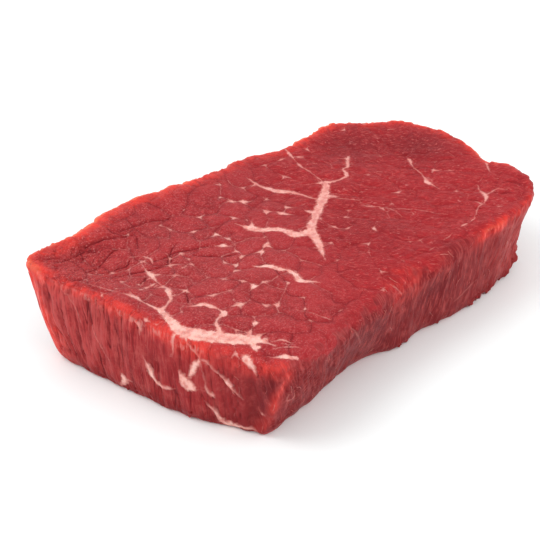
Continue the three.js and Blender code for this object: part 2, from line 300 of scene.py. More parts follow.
# %% Veins of the walls
# On the near end each point is y, the height and the half width.
NEAR_END_VEINS = {
    "drop": [(-16.8, 34.6, 1.0), (-17.2, 32, 0.6), (-17.3, 28.5, 0.4), (-17.2, 25.5, 0.15)],
    "long_seam": [(-21, 33.8, 0.8), (-22.5, 32.5, 0.4), (-25, 30.5, 0.45), (-27, 28.5, 0.5),
                  (-28, 24.5, 0.3), (-29, 20, 0.3), (-29.5, 15.5, 0.6), (-31, 14, 0.8),
                  (-31.5, 12.8, 0.2)],
    "crossing_seam": [(-27, 28, 0.35), (-29.5, 27.5, 0.5), (-31.5, 25, 0.5), (-34.5, 22.5, 0.6),
                      (-36.5, 20.5, 1.15), (-38, 18.5, 0.6), (-41, 15, 0.2)],
    "branch": [(-27, 27, 0.8), (-25.5, 24.5, 1.3), (-24.5, 21.5, 1.0), (-23.5, 20, 0.4)],
    "pool": [(-19.7, 20.5, 0.4), (-21, 18.3, 1.5), (-22.3, 16.6, 2.3), (-24, 15.7, 1.8),
             (-25.5, 15, 0.6)],
    "link": [(-25, 15.5, 0.2), (-27.5, 15.5, 0.2), (-29.5, 15.5, 0.35)],
    "foot_seam": [(-28.5, 10.5, 0.2), (-29.5, 9, 0.5), (-31, 7.5, 0.7), (-32, 5, 0.9),
                  (-33, 2.7, 1.2), (-35.5, 1.6, 1.5), (-39, 2, 0.9), (-42, 2, 0.7),
                  (-43.8, 1.3, 0.5), (-44.5, 0.9, 0.25)],
    "left_seam": [(-4.5, 20.5, 0.2), (-6.2, 17.5, 0.8), (-7.5, 14.5, 1.2), (-8.7, 12.5, 0.9),
                  (-10.5, 11.3, 0.8), (-14, 11, 0.8), (-17.5, 12, 0.2)],
    "corner_patch": [(-40, 33.6, 0.5), (-41.5, 32, 1.1), (-43.5, 31, 1.4), (-45.5, 29.5, 0.9),
                     (-46.5, 27, 0.2)],
    "patch": [(-1.3, 33, 0.5), (-3.2, 31.8, 0.8), (-3.3, 29.8, 0.5), (-3.2, 28.5, 0.15)],
    "low_patch": [(6.5, 8.5, 0.3), (5.2, 6, 1.3), (6, 4, 1.1), (7.5, 2.4, 0.7), (8.5, 1, 0.3)],
    "low_patch_arm": [(5, 5.5, 1.0), (3.5, 6.5, 0.6), (1.5, 6.8, 0.2)],
    "left_hair": [(18, 23.3, 0.15), (15.5, 18.8, 0.22), (11.8, 13.4, 0.2), (10.5, 11.7, 0.12)],
    "far_left_hair": [(29, 33, 0.15), (24.5, 28, 0.22), (23, 23.3, 0.15)],
    "corner_fleck": [(-45.8, 10.8, 0.2), (-47, 10.3, 0.6), (-48, 10.3, 0.3)],
}
# On the long side each point is x, the height and the half width.
LONG_SIDE_VEINS = {
    "faint_seam": [(36, 12.5, 0.15), (30, 10.5, 0.3), (24, 8.5, 0.15)],
    "tick": [(-36, 28, 0.15), (-31, 21, 0.3), (-26, 14, 0.15)],
    "short_dash": [(-10, 30.5, 0.2), (-8, 28, 0.4), (-6.5, 26, 0.15)],
    "curl": [(-68.5, 18, 0.2), (-68.8, 15.8, 0.45), (-67, 14.5, 0.4), (-65, 14.8, 0.5),
             (-65, 16.5, 0.15)],
}

# %% [markdown]
# ## Bundles, and the flecks where they meet
#
# Each bundle of fibres sits in a thin sleeve, and the knife shows the sleeves as a net of fine
# lines. Where three bundles meet, the fat between them is cut as a small star with hollow sides,
# whose points run out along the lines. So the net comes first: its junctions are the clearest
# flecks, points along the veins, and jittered rows in between, and two junctions are joined where
# no third one is nearer to both. That gives uneven many-sided cells, as in meat, where a cell
# noise would ignore the flecks. Then each fleck's points are drawn along the lines that leave it.

# %% Net of bundles
# Each fleck is x, y and the reach of its longest point.
FLECKS = [(-38.5, -2.5, 2.8), (-45, -17, 4.5), (-59, -10.5, 2.6), (-63, -1.5, 2.6),
          (-57, -21, 3.4), (-47.5, -30, 3.6), (-51, -28, 2.2), (-61, -32, 4.0), (-41, -17.5, 2.2),
          (21, 27, 2.6), (36, 32, 2.2), (-4, 14, 3.2), (-23, 30, 2.4), (-15, 20, 2.2),
          (-28, 17, 3.0), (-27, 12, 2.8), (-31.5, 10, 3.6), (-21, -1, 4.0), (-25.5, -3, 3.2),
          (-33, 0, 2.6), (-40, 1.5, 2.6), (-4, 26, 3.4), (-7, 28.5, 2.6), (-1, 9, 4.2),
          (4, 11, 2.4), (-8, 34, 2.0),
          (14, -23, 2.6), (4, -28, 2.2), (-55, 14, 2.4), (-74, 19, 2.0), (-62, 13, 2.2),
          (-70, 28, 1.8), (-36, 18, 1.8), (-49, 9, 2.0), (30, 36, 2.4), (44, 3, 1.4), (8, -16, 2.0),
          (33, -27, 1.6), (68, -18, 1.4)]
GRAIN_HEADING = math.atan2(-0.75, 0.66)  # the fibres' run over the far part of the top face
CORE_SHARES = (0.72, 0.11)  # of a vein's half width, and more of it for each mm
CORE_LEAST = 0.03  # mm
NET_X, NET_Y = (-88, 84), (-48, 52)  # mm, where the rows of junctions begin and end
NET_SPACING = (7.5, 6.2)  # mm between junctions along and across the steak
NET_JITTER = (4, 3)  # mm
NEAREST_JUNCTION = 3.4  # mm
LONGEST_LINE = 2.2 * NET_SPACING[0]
VEIN_JUNCTIONS = 6.0  # mm between the junctions along a vein
LEAST_BRANCHING = 0.35  # mm, a vein of a smaller half width has none
VEIN_POINTS = (0.5, 2.0)  # mm, how far a point of a vein shows beyond its edge
FLECK_HALF = (0.2, 0.13)  # a fleck's half width: this share of its reach, and mm more
FLECK_WIDEST = 0.9  # mm
SMALL_FLECKS = (0.8, 2.2)  # mm, the range of the reach of those that aren't listed
WITH_FLECK = 0.7  # share of the junctions that have one at the near end
WITHOUT_FAR = 0.66  # how much of that share is lost by the far end
FLECKS_END = 40  # mm, the strip at the back has none
SEED = 20
print("flecks placed by hand:", len(FLECKS))


# %% Junctions of the net
def core(route):
    """The firm middle of a vein. The tables give it at its blurred edge, as it is seen."""
    share, more = CORE_SHARES
    return [(*place, half * (share + more * half) + CORE_LEAST) for *place, half in route]


def vein_junctions(rng):
    """Points along the veins, whose reach shows a little beyond the vein's edge."""
    found = []
    for route in map(core, TOP_VEINS.values()):
        for (*a, a_half), (*b, b_half) in zip(route, route[1:]):
            thick = min(a_half, b_half) > LEAST_BRANCHING
            if thick and rng.uniform() < math.dist(a, b) / VEIN_JUNCTIONS:
                share = rng.uniform()
                half = a_half + (b_half - a_half) * share
                found.append((a[0] + (b[0] - a[0]) * share, a[1] + (b[1] - a[1]) * share,
                              half + rng.uniform(*VEIN_POINTS), min(0.7, 0.6 * half)))
    return found


def fleck(x, y, reach):
    """A junction with its reach and its half width in the middle, in mm."""
    return (x, y, reach, min(FLECK_WIDEST, FLECK_HALF[0] * reach + FLECK_HALF[1]))


def net_junctions(rng):
    """Flecks, points of the veins, and jittered rows of junctions wherever none is near."""
    found = [fleck(*given) for given in FLECKS] + vein_junctions(rng)
    for x in np.arange(*NET_X, NET_SPACING[0]):
        has_fleck_share = WITH_FLECK - WITHOUT_FAR * (x - NET_X[0]) / (NET_X[1] - NET_X[0])
        for y in np.arange(*NET_Y, NET_SPACING[1]):
            place = [middle + rng.uniform(-most, most) for middle, most in zip((x, y), NET_JITTER)]
            if min(math.dist(place, other[:2]) for other in found) > NEAREST_JUNCTION:
                has_fleck = rng.uniform() < has_fleck_share
                at_back = place[1] > FLECKS_END
                reach = rng.uniform(*SMALL_FLECKS) * has_fleck * (not at_back)
                found.append(fleck(*place, reach))
    return np.array(found)


def joined(junctions):
    """Pairs of junctions that no third junction is nearer to."""
    apart = np.linalg.norm(junctions[:, None, :2] - junctions[:, :2], axis=2)
    return [(i, j) for i, j in zip(*np.triu_indices(len(junctions), 1))
            if apart[i, j] < LONGEST_LINE
            and not (np.maximum(apart[i], apart[j]) < apart[i, j]).any()]


rng = np.random.default_rng(SEED)
junctions = net_junctions(rng)
net = joined(junctions)
print("junctions:", len(junctions), "lines:", len(net))

# %% [markdown]
# A line of the net is bowed a little. Many of them are pale, where the sleeve itself is fat, and
# some of the rest have opened. A fleck's point takes the first part of the line, thick at the
# junction and then soon thin, which leaves the star's sides hollow. Each line has an openness:
# 1 is a crack, 0 is a closed gap and -1 is a pale line.

# %% Lines and points of the net
LINE_HALF = 0.17  # mm, half the width of a line
LINE_BOW = 0.10  # how far a line bows aside, as a share of its length
PALE_X = (-60, 50)  # mm along the steak, between which the next two change
PALE_SHARES = (0.6, 0.2)  # share of the lines that are fat, at the near end and at the far end
PALE_THINNER = (1.0, 0.6)  # what is left of their width there
PALE_HALVES = (0.09, 0.24)  # mm, the range of half their width
PALE_FROM_EDGE = (82, 36)  # mm from the middle, along and across: there is none beyond
PART_OPEN = 0.45  # share of the other lines that have opened a little
OPENNESS = (0.15, 0.5)
LEAST_FLECK = 0.3  # mm, a junction with less reach has no points
POINT_THICKNESS = (1.0, 0.62)  # of the star's middle, at the point's root and part of the way
POINT_TIP = 0.14  # mm, half the width at the tip


def bowed(a, b, bow, reach):
    """Places on a bowed line from a to b, at three shares of its first part."""
    places = []
    for share in (0.0, 0.4 * reach, reach):
        aside = bow * 4 * share * (1 - share)
        places.append((a[0] + (b[0] - a[0]) * share - aside * (b[1] - a[1]),
                       a[1] + (b[1] - a[1]) * share + aside * (b[0] - a[0])))
    return places


def fleck_point(a, b, bow, reach):
    """A star's point from junction a towards b: its places and half widths. It is longest along
    the grain, and never meets the point that comes from b."""
    thick = a[3]
    apart = math.dist(a[:2], b[:2])
    along_grain = abs(math.cos(math.atan2(b[1] - a[1], b[0] - a[0]) - GRAIN_HEADING))
    length = min(0.49 * apart, reach * (0.75 + 0.6 * along_grain))
    places = bowed(a, b, bow, length / apart)
    halves = [*(share * thick for share in POINT_THICKNESS), POINT_TIP]
    return [(*place, half) for place, half in zip(places, halves)]


fleck_points, gap_lines = [], []
for i, j in net:
    a, b, bow = junctions[i], junctions[j], rng.normal(0, LINE_BOW)
    for start, end, side in ((a, b, bow), (b, a, -bow)):
        if start[2] > LEAST_FLECK:
            fleck_points.append(fleck_point(start, end, side, start[2] * rng.uniform(0.7, 1.1)))
    whole = [(*place, LINE_HALF * rng.uniform(0.7, 1.5)) for place in bowed(a, b, bow, 1.0)]
    inside = max(abs(a[0]) / PALE_FROM_EDGE[0], abs(a[1]) / PALE_FROM_EDGE[1]) < 1
    pale = rng.uniform() < np.interp(a[0], PALE_X, PALE_SHARES) * inside
    if pale:
        pale_half = rng.uniform(*PALE_HALVES) * np.interp(a[0], PALE_X, PALE_THINNER)
        fleck_points.append([(x, y, pale_half) for x, y, _ in whole])
        openness = -1.0
    else:
        openness = rng.uniform(*OPENNESS) * (rng.uniform() < PART_OPEN)
    gap_lines.append((whole, openness))
print("points of flecks:", len(fleck_points))

# %% [markdown]
# ## Cracks
#
# Near the raised corner the cut has dried a little, and some sleeves have opened into cracks.
# The clear ones are listed one by one, because they all run about the same way, along the strip.

# %% Cracks
# Each point is x, y and the half width at the soft edge.
CRACKS = [
    [(-68, 43.5, 0.3), (-65, 43.5, 0.5), (-62, 43, 0.4), (-58, 42, 0.2), (-52, 39, 0.2),
     (-49, 38, 0.1)],
    [(-57, 35, 0.1), (-60.5, 37, 0.2), (-65.5, 36, 0.2), (-70.5, 34.5, 0.2), (-77, 33, 0.1)],
    [(-70, 29.5, 0.2), (-67, 29, 0.4), (-64, 27.5, 0.4), (-61, 28.5, 0.2)],
    [(-75, 25, 0.1), (-71, 24, 0.4), (-67, 22.5, 0.3), (-63, 19.5, 0.35), (-59, 17, 0.2),
     (-54, 15.5, 0.2), (-50, 18, 0.2)],
    [(-71, 13, 0.3), (-68, 14, 0.6), (-65.5, 15.5, 0.2)],
    [(-56, 15, 0.2), (-51, 18.5, 0.3), (-46.5, 21.5, 0.2), (-43, 23, 0.1)],
    [(-83, 42, 0.1), (-74, 43, 0.15), (-67, 42, 0.2)],
    [(-50, 36, 0.15), (-54, 31.5, 0.15)],
    [(-58, 22, 0.1), (-53, 19.5, 0.2), (-47, 19, 0.2), (-42, 16.5, 0.3), (-38, 15, 0.2),
     (-35, 13, 0.1)],
    [(-53, 42.5, 0.1), (-45, 41.5, 0.15), (-38, 41, 0.15), (-32, 37.5, 0.1)],
    [(-62, -1, 0.1), (-65, -4, 0.25), (-68, -7.5, 0.1)],
    [(-44, 13, 0.1), (-40, 8, 0.3), (-37, 5, 0.25), (-33, 3, 0.1)],
]
CRACK_CORE = 0.85  # the dark middle of a crack, as a share of its width
for route in CRACKS:
    gap_lines.append(([(x, y, CRACK_CORE * half) for x, y, half in route], 1.0))
print("lines, with the cracks:", len(gap_lines))

# %% [markdown]
# ## Dropping the veins onto the meat
#
# A route is smoothed, cut into short steps and cast onto the body along one direction. The same
# sheets of fat come out again on the underside and on the two hidden walls, mostly thinner, and
# stretched and moved along, as they do in a real cut.

# %% Routes on the surface
STEP = 0.45  # mm between the samples of a route
THINNEST = 0.05  # mm, the least half width
faces = [tuple(polygon.vertices) for polygon in steak.data.polygons]
surface = BVHTree.FromPolygons((points * MM).tolist(), faces)


def smooth_route(route):
    """A rounded line through the route's points, with a sample every STEP."""
    route = np.array(route, float)
    padded = np.vstack([2 * route[0] - route[1], route, 2 * route[-1] - route[-2]])
    pieces = []
    for a, b, c, d in zip(padded, padded[1:], padded[2:], padded[3:]):
        steps = max(2, int(np.linalg.norm((c - b)[:-1]) / STEP))
        t = np.linspace(0, 1, steps, endpoint=False)[:, None]
        pieces.append(b + 0.5 * t * (c - a + t * (2 * a - 5 * b + 4 * c - d
                                                  + t * (3 * (b - c) + d - a))))
    return np.vstack([*pieces, route[-1:]])


def laid(route, start_of, direction, thinner=1.0, opened=1.0):
    """A row for each sample on the body: place, half width, way, end mark and openness."""
    rows = []
    for sample in smooth_route(route):
        hit = surface.ray_cast(Vector(start_of(sample)) * MM, Vector(direction))[0]
        if hit is not None:
            rows.append((*(np.array(hit) / MM), max(THINNEST, sample[-1] * thinner)))
    if len(rows) < 3:
        return np.empty((0, 9))
    rows = np.array(rows)
    ways = np.gradient(rows[:, :3], axis=0)
    ways /= np.maximum(np.linalg.norm(ways, axis=1, keepdims=True), 1e-9)
    ends = np.zeros((len(rows), 1))
    ends[0], ends[-1] = -1, 1
    return np.hstack([rows, ways, ends, np.full_like(ends, opened)])


# %% All the sheets
FAR_AWAY = 300.0  # mm
DOWN, UP = (0, 0, -1), (0, 0, 1)
UNDER_STRETCH = (0.93, 0.9)  # of a sheet of fat by the underside, along and across the steak
UNDER_SHIFT = (5.0, -4.0)  # mm
UNDER_THINNER = 0.8
UNDER_HEIGHT = 1.0  # mm; past the foot the ray meets a leaning wall above this instead
# The directions of the rays onto the walls
ONTO_NEAR_END, ONTO_LONG_SIDE, ONTO_FAR_END, ONTO_BACK = (1, 0), (0, 1), (-1, 0), (0, -1)
# Each is the veins, the ray, and how far they are stretched, moved along in mm, and thinned
HIDDEN_COPIES = [(NEAR_END_VEINS, ONTO_FAR_END, -0.9, -6, 0.6),
                 (NEAR_END_VEINS, ONTO_BACK, 1.3, 40, 0.55),
                 (LONG_SIDE_VEINS, ONTO_BACK, -1, -12, 1.0)]


def on_top(route, opened=1.0):
    return laid(route, lambda s: (s[0], s[1], FAR_AWAY), DOWN, opened=opened)


def underneath(route, opened=1.0):
    def below(sample):
        x, y = sample[:2] * UNDER_STRETCH + UNDER_SHIFT
        return (x, y, -FAR_AWAY)

    rows = laid(route, below, UP, UNDER_THINNER, opened)
    return rows[rows[:, 2] < UNDER_HEIGHT]


def on_wall(route, ray, stretch=1, shift=0, thinner=1.0):
    """Casts a route of places along a wall and their heights, square to the wall."""
    def outside(sample):
        along = sample[0] * stretch + shift
        return (*[along if way == 0 else -way * FAR_AWAY for way in ray], sample[1])

    return laid(route, outside, (*ray, 0), thinner)


top_fat = [*map(core, TOP_VEINS.values()), *fleck_points]
seen_fat = [on_top(route) for route in top_fat]
for veins, ray in ((NEAR_END_VEINS, ONTO_NEAR_END), (LONG_SIDE_VEINS, ONTO_LONG_SIDE)):
    seen_fat += [on_wall(core(route), ray) for route in veins.values()]
hidden_fat = [underneath(route) for route in top_fat]
for veins, *how in HIDDEN_COPIES:
    hidden_fat += [on_wall(route, *how) for route in veins.values()]
fat = np.vstack(seen_fat + hidden_fat)
gaps = np.vstack([lay(route, opened) for route, opened in gap_lines
                  for lay in (on_top, underneath)])
print("samples:", len(fat), "fat,", len(gaps), "gaps")

# %% [markdown]
# ## Smaller squares where the detail is
#
# A fleck is 2 mm long and a crack half a millimetre wide, less than one square of the mesh. So the
# squares near the veins, flecks and cracks are cut in four, and those of the strip beside the
# raised corner, where the cut has dried and wrinkled. Making all of them that small would cost
# four times the mesh for nothing.

# %% Finer mesh near veins and cracks
FINE_MARGIN = 0.75  # mm beyond a vein's edge
TOP_AND_WALLS = -0.2  # the least upward share of a normal; the underside stays coarser
TOP_ONLY = 0.5  # the same, for the dried strip
DRIED_PLACE = (-80, 38, 34)  # mm
DRIED_REACH = (26.0, 14.3)  # mm from there, where none and all of the skin has dried


def dried_share(places):
    return smooth_step(*DRIED_REACH, np.linalg.norm(places - DRIED_PLACE, axis=1))


def worth_refining():
    """For each vertex, whether the squares around it are cut."""
    cracks = [on_top(route) for route in CRACKS]
    samples = np.vstack(seen_fat + cracks)
    tree = search_tree(samples[:, :3])
    worth = (dried_share(points) > 0.1) & (normals[:, 2] > TOP_ONLY)
    for index in np.nonzero(normals[:, 2] > TOP_AND_WALLS)[0]:
        nearest, apart = tree.find(points[index])[1:]
        worth[index] |= apart < samples[nearest, 3] + FINE_MARGIN
    return worth


def cut_in_four(piece, worth):
    shape = bmesh.new()
    shape.from_mesh(piece.data)
    edges = [edge for edge in shape.edges if all(worth[vertex.index] for vertex in edge.verts)]
    bmesh.ops.subdivide_edges(shape, edges=edges, cuts=1, use_grid_fill=True)
    shape.to_mesh(piece.data)
    shape.free()


cut_in_four(steak, worth_refining())
mesh = steak.data
points, normals = read_vertices(mesh)
count = len(points)
print("body:", count, "vertices,", triangles(mesh), "triangles")

# %% [markdown]
# ## Which part of the cut is where
#
# A steak is one muscle cut by a knife on all sides, and each face shows it another way. At the
# near end the knife went straight across the fibres, so the top shows their ends as grains, with
# cracks between the bundles. Towards the far end the fibres come up at a slant and show as fine
# lines. The walls are cut along the fibres, which run up and down them. These shares are kept as
# attributes of the mesh, because both the relief and the colours need them.

# %% Regions
SPINE_X = (-41.4, 28.6)  # mm, the middle line of the steak, which the walls lean towards
SPINE_Y = -1.4
SPINE_REACH = 50.0  # mm, a typical way from the middle line to the wall
CROSS_CUT_X = (25, -60)  # mm, where none and all of the fibres are cut across, on the middle line
CROSS_CUT_SLANT = 0.45  # mm that it shifts along for each mm across
EDGE_HEIGHT = 0.7 * THICKNESS
EDGE_TURN = (0.35, 0.72)  # the upward share of the normals on the turned upper edge

wall = smooth_step(0.75, 0.25, np.abs(normals[:, 2]))
dried = dried_share(points)
under = smooth_step(-0.3, -0.7, normals[:, 2])
cross_cut = smooth_step(*CROSS_CUT_X, points[:, 0] - CROSS_CUT_SLANT * points[:, 1])

spine = np.stack([np.clip(points[:, 0], *SPINE_X), np.full(count, SPINE_Y)], axis=1)
outward = points[:, :2] - spine
outward /= np.maximum(np.linalg.norm(outward, axis=1, keepdims=True), 1e-6)
at_near_end = smooth_step(-0.45, -0.85, outward[:, 0])
long_side = smooth_step(0.55, 0.85, np.abs(outward[:, 1]))

# The rim distance is measured from the turned upper edge
turned = (normals[:, 2] > EDGE_TURN[0]) & (normals[:, 2] < EDGE_TURN[1])
edge_points = points[turned & (points[:, 2] > EDGE_HEIGHT)]
edge_tree = search_tree(edge_points)
rim = np.array([edge_tree.find(point)[2] for point in points])
print("wall share", wall.mean().round(3), "edge points", len(edge_points))

# %% [markdown]
# ## Fibre columns
#
# On the walls the fibres run from the foot to the rim, and on the long sides they lean. A column
# coordinate is the same all the way up a fibre, so a pattern that is read there makes streaks
# that follow the wall round its corners with no seam. The way of the fibres is kept too, for the
# loose ones that are laid on later.

# %% Fibre columns
NEAR_END_LEAN = 0.06  # how far a fibre shifts along the near wall for each mm that it rises
# The lean along the long sides: it turns over from the near corner to the far end
LONG_SIDE_LEANS = {-75: 0.25, -50: 0.35, -30: 0.05, 0: -0.05, 45: -0.18, 90: -0.2}

along_the_side = np.interp(points[:, 0], list(LONG_SIDE_LEANS), list(LONG_SIDE_LEANS.values()))
lean = NEAR_END_LEAN * at_near_end + along_the_side * (1 - at_near_end)
tangent = np.stack([-outward[:, 1], outward[:, 0]], axis=1)
column = np.zeros((count, 3))
column[:, :2] = spine + outward * SPINE_REACH + tangent * (lean * points[:, 2])[:, None]
column[:, 2] = points[:, 2]

up_the_wall = np.hstack([-lean[:, None] * tangent, np.ones((count, 1))])
along_the_top = np.array([math.cos(GRAIN_HEADING), math.sin(GRAIN_HEADING), 0.0])
fibre_way = wall[:, None] * up_the_wall + (1 - wall[:, None]) * along_the_top
print("lean on the walls:", lean.min().round(2), "to", lean.max().round(2))

# %% [markdown]
# ## How far each point is from the fat
#
# A vein can be thinner than the mesh's squares. So each vertex keeps the whole offset to its
# nearest vein and not only the distance: between two vertices on opposite sides the offsets
# cancel exactly on the vein's middle line, and the shader can draw a line of a tenth of a
# millimetre. A plain distance, kept beside it, stops false lines half way between two veins.

# %% Distance attributes
CHUNK = 4000  # vertices measured at a time


def nearest_sheet(sheets):
    """For each vertex: how far the nearest sheet's edge is, the offset from its middle, its half
    width and its openness."""
    places, halves, ways, ends = sheets[:, :3], sheets[:, 3], sheets[:, 4:7], sheets[:, 7]
    edge, nearest = np.empty(count), np.empty(count, int)
    fine_places, fine_points = places.astype(np.float32), points.astype(np.float32)
    fine_halves, squares = halves.astype(np.float32), (fine_places ** 2).sum(1)
    for start in range(0, count, CHUNK):
        part = fine_points[start:start + CHUNK]
        apart = (part ** 2).sum(1)[:, None] + squares - 2 * part @ fine_places.T
        reach = np.sqrt(np.maximum(apart, 0)) - fine_halves
        nearest[start:start + CHUNK] = reach.argmin(1)
        edge[start:start + CHUNK] = reach.min(1)
    offset = points - places[nearest]
    along = (offset * ways[nearest]).sum(1)
    inside = along * ends[nearest] <= 0  # beyond a tip, the whole offset counts
    offset -= ways[nearest] * (along * inside)[:, None]
    return edge, offset, halves[nearest], sheets[nearest, 8]


vein_edge, vein_offset, vein_half, _ = nearest_sheet(fat)
gap_edge, gap_offset, gap_half, gap_open = nearest_sheet(gaps)
print("share of the surface that is fat:", (vein_edge < 0).mean().round(4))

# %% [markdown]
# ## Painted glow of the edges, and paler and darker places
#
# Raw muscle lets light in, and where the knife left a thin moist edge it glows orange-red. That
# glow is painted into the colour here, strongest at the raised corner and along the back edge, and
# coming and going along the cut sides. The muscle between is darker in some places than in
# others. A few named places with a reach in millimetres are enough for both.

# %% Painted glow of the edges
# Each place of painted glow is x, y, its reach, how far the brightness goes in from the rim,
# and its strength.
PAINTED_GLOWS = {
    "raised_corner": (-90, 49, 14, 4.6, 0.85),
    "back_edge_left": (-58, 55, 28, 5.6, 1.0),
    "back_edge_middle": (-22, 50, 26, 5.6, 1.0),
    "back_edge_right": (20, 44, 28, 4.4, 0.85),
    "far_edge_back": (60, 40, 26, 4.6, 1.0),
    "far_edge": (88, 18, 24, 4.2, 1.0),
    "far_corner": (86, -20, 18, 3.2, 0.95),
    "near_rim": (-89, 24, 13, 2.4, 0.65),
    "near_rim_middle": (-86, 6, 10, 2.8, 0.72),
    "near_rim_by_fat": (-85, -13, 7, 3.6, 0.75),
    "near_rim_below_fat": (-83, -24, 8, 4.8, 0.76),
    "near_rim_low": (-79, -37, 10, 5.0, 0.45),
    "near_corner": (-73, -50, 4.5, 2.6, 0.7),
    "long_rim_far": (46, -55, 10, 2.0, 0.8),
    "long_rim_end": (68, -53, 11, 1.9, 0.5),
    "long_rim_middle": (8, -50, 16, 4.0, 0.1),
    "long_rim_patch": (-4, -52, 9, 7.0, 0.3),
}
# Painted glow of the upright edges at the two near corners: places down the edge, reach and
# strength
UPRIGHTS = {
    "raised_corner": ([(-90, 48.5, 38), (-92, 46, 30), (-92.5, 43.5, 24), (-93, 40, 19),
                       (-92, 38.5, 12.5), (-90, 38, 4), (-89, 38, 0)], 4.0, 0.95),
    "near_corner": ([(-71.5, -51, 31.5), (-71.5, -54, 30.5), (-70, -54.5, 25.5), (-72, -54, 23),
                     (-73.5, -53.5, 20.5), (-74, -52.5, 16.5), (-74.5, -52, 14)], 2.1, 0.6),
    "near_corner_foot": ([(-74.5, -50, 9.5), (-74.5, -47.5, 5), (-74, -45, 2)], 2.4, 0.3),
    "raised_corner_foot": ([(-90, 37.5, 8), (-88.5, 37, 0)], 6.0, 0.7),
}

# %% How much painted glow each vertex has
GLOW_FADE = 2.5  # how suddenly it ends on the way in from the rim
BEHIND = (0.75, 0.66)  # towards the far end and the back
DOWN_BEHIND = 0.65  # share of the brightness that the walls behind lose


def distance_to(line):
    """How far each vertex is from a line through the given places, in mm."""
    shares = np.linspace(0, len(line) - 1, 10 * len(line))
    samples = [np.array([np.interp(share, range(len(line)), axis) for axis in zip(*line)])
               for share in shares]
    return np.sqrt(np.minimum.reduce([((points - sample) ** 2).sum(1) for sample in samples]))


def stripe(line, reach):
    """1 on the line and dying out beside it, for each vertex."""
    return np.exp(-(distance_to(line) / reach) ** 2)


# Painted glow: the light that comes through the thin cut edge, put into the colour
painted_glow = np.zeros(count)
for x, y, reach, inwards, strength in PAINTED_GLOWS.values():
    near = smooth_step(1.5 * reach, 0.5 * reach, np.hypot(points[:, 0] - x, points[:, 1] - y))
    painted_glow = np.maximum(painted_glow, strength * near * np.exp(-(rim / inwards) ** GLOW_FADE))
for line, reach, strength in UPRIGHTS.values():
    painted_glow = np.maximum(painted_glow, strength * stripe(line, reach))
# The photo shows it on top of the back and the far end, and not how far it goes down behind
painted_glow *= 1 - DOWN_BEHIND * smooth_step(0.0, 0.5, normals[:, :2] @ BEHIND) * wall
print("share of the surface that glows:", (painted_glow > 0.5).mean().round(3))

# %% [markdown]
# The muscle is also paler or darker from place to place, and the crease beside the near corner is
# darkened with painted shade. Where the knife only pressed the muscle, near that corner, it is
# smooth and even. Places with a soft reach follow the real ones, which a noise could not be made to
# do.

# %% Paler and darker places
# Each place is x, y, z, its reach and its tone: above 0 is paler, below 0 is darker.
TONES = {
    "near_end_left": (-88, 30, 18, 26, 1.15),
    "near_end_right": (-79, -38, 14, 14, 0.15),
    "near_end_middle": (-87, -3, 20, 13, -0.35),
    "far_top": (77, -4, 32, 14, -0.35),
    "far_wall": (66, -51, 16, 18, 1.05),
    "long_middle": (-21, -50, 15, 17, -1.0),
    "below_trunk": (10, -20, 32, 24, -0.35),
    "far_band": (58, 24, 32, 15, -0.7),
    "far_band_end": (76, 6, 32, 12, -0.5),
    "behind_trunk": (0, 30, 32, 25, -0.2),
    "raised_corner_hollow": (-78, 38, 34, 18, 0.65),
    "front_middle": (-40, -30, 33, 18, 0.05),
    "near_middle": (-52, 5, 33, 38, 0.25),
    "long_rim_dark": (22, -53, 31, 6, -0.8),
    "long_wall_dark": (13, -54, 21, 9, -0.9),
}

# The crease beside the near corner is darkened along this line with painted shade.
CREASE_LINE = [(-74.5, -51.5, 31), (-75, -52.5, 27.5), (-76, -51.5, 24), (-76, -48.5, 16.5),
               (-75.5, -46, 11)]
PAINTED_CREASE_SHADE = {2.0: -1.1, 6.0: -0.1}  # the reach beside the line in mm, and the tone
# The smooth places: x, y, z, the reach in mm and the share of the fibres' pattern that is lost
CALM_PLACES = [(-77, -40, 15, 17.0, 1.0), (-82, -19, 21, 11.0, 0.75)]


def spot(place, reach):
    """1 at the place and dying out around it, for each vertex."""
    return np.exp(-((points - place) ** 2).sum(1) / reach ** 2)


tone = np.zeros(count)
for *place, reach, strength in TONES.values():
    on_the_wall = place[2] < EDGE_HEIGHT
    tone += strength * spot(place, reach) * (wall if on_the_wall else 1)
for reach, strength in PAINTED_CREASE_SHADE.items():
    tone += strength * stripe(CREASE_LINE, reach)
calm = np.maximum.reduce([share * spot(place, reach) for *place, reach, share in CALM_PLACES])
print("tone:", tone.min().round(2), "to", tone.max().round(2))

# %% [markdown]
# ## Where the foot is torn
#
# Along the foot the knife tore rather than cut. Small tags stand out from the wall, most of them
# at the far corner, and along the long side the torn sheets end in steps, like the teeth of a
# saw. Here the wall is only pulled out a little at each. The tags themselves are laid against it
# later, because a wall that moves along its normals cannot overhang.

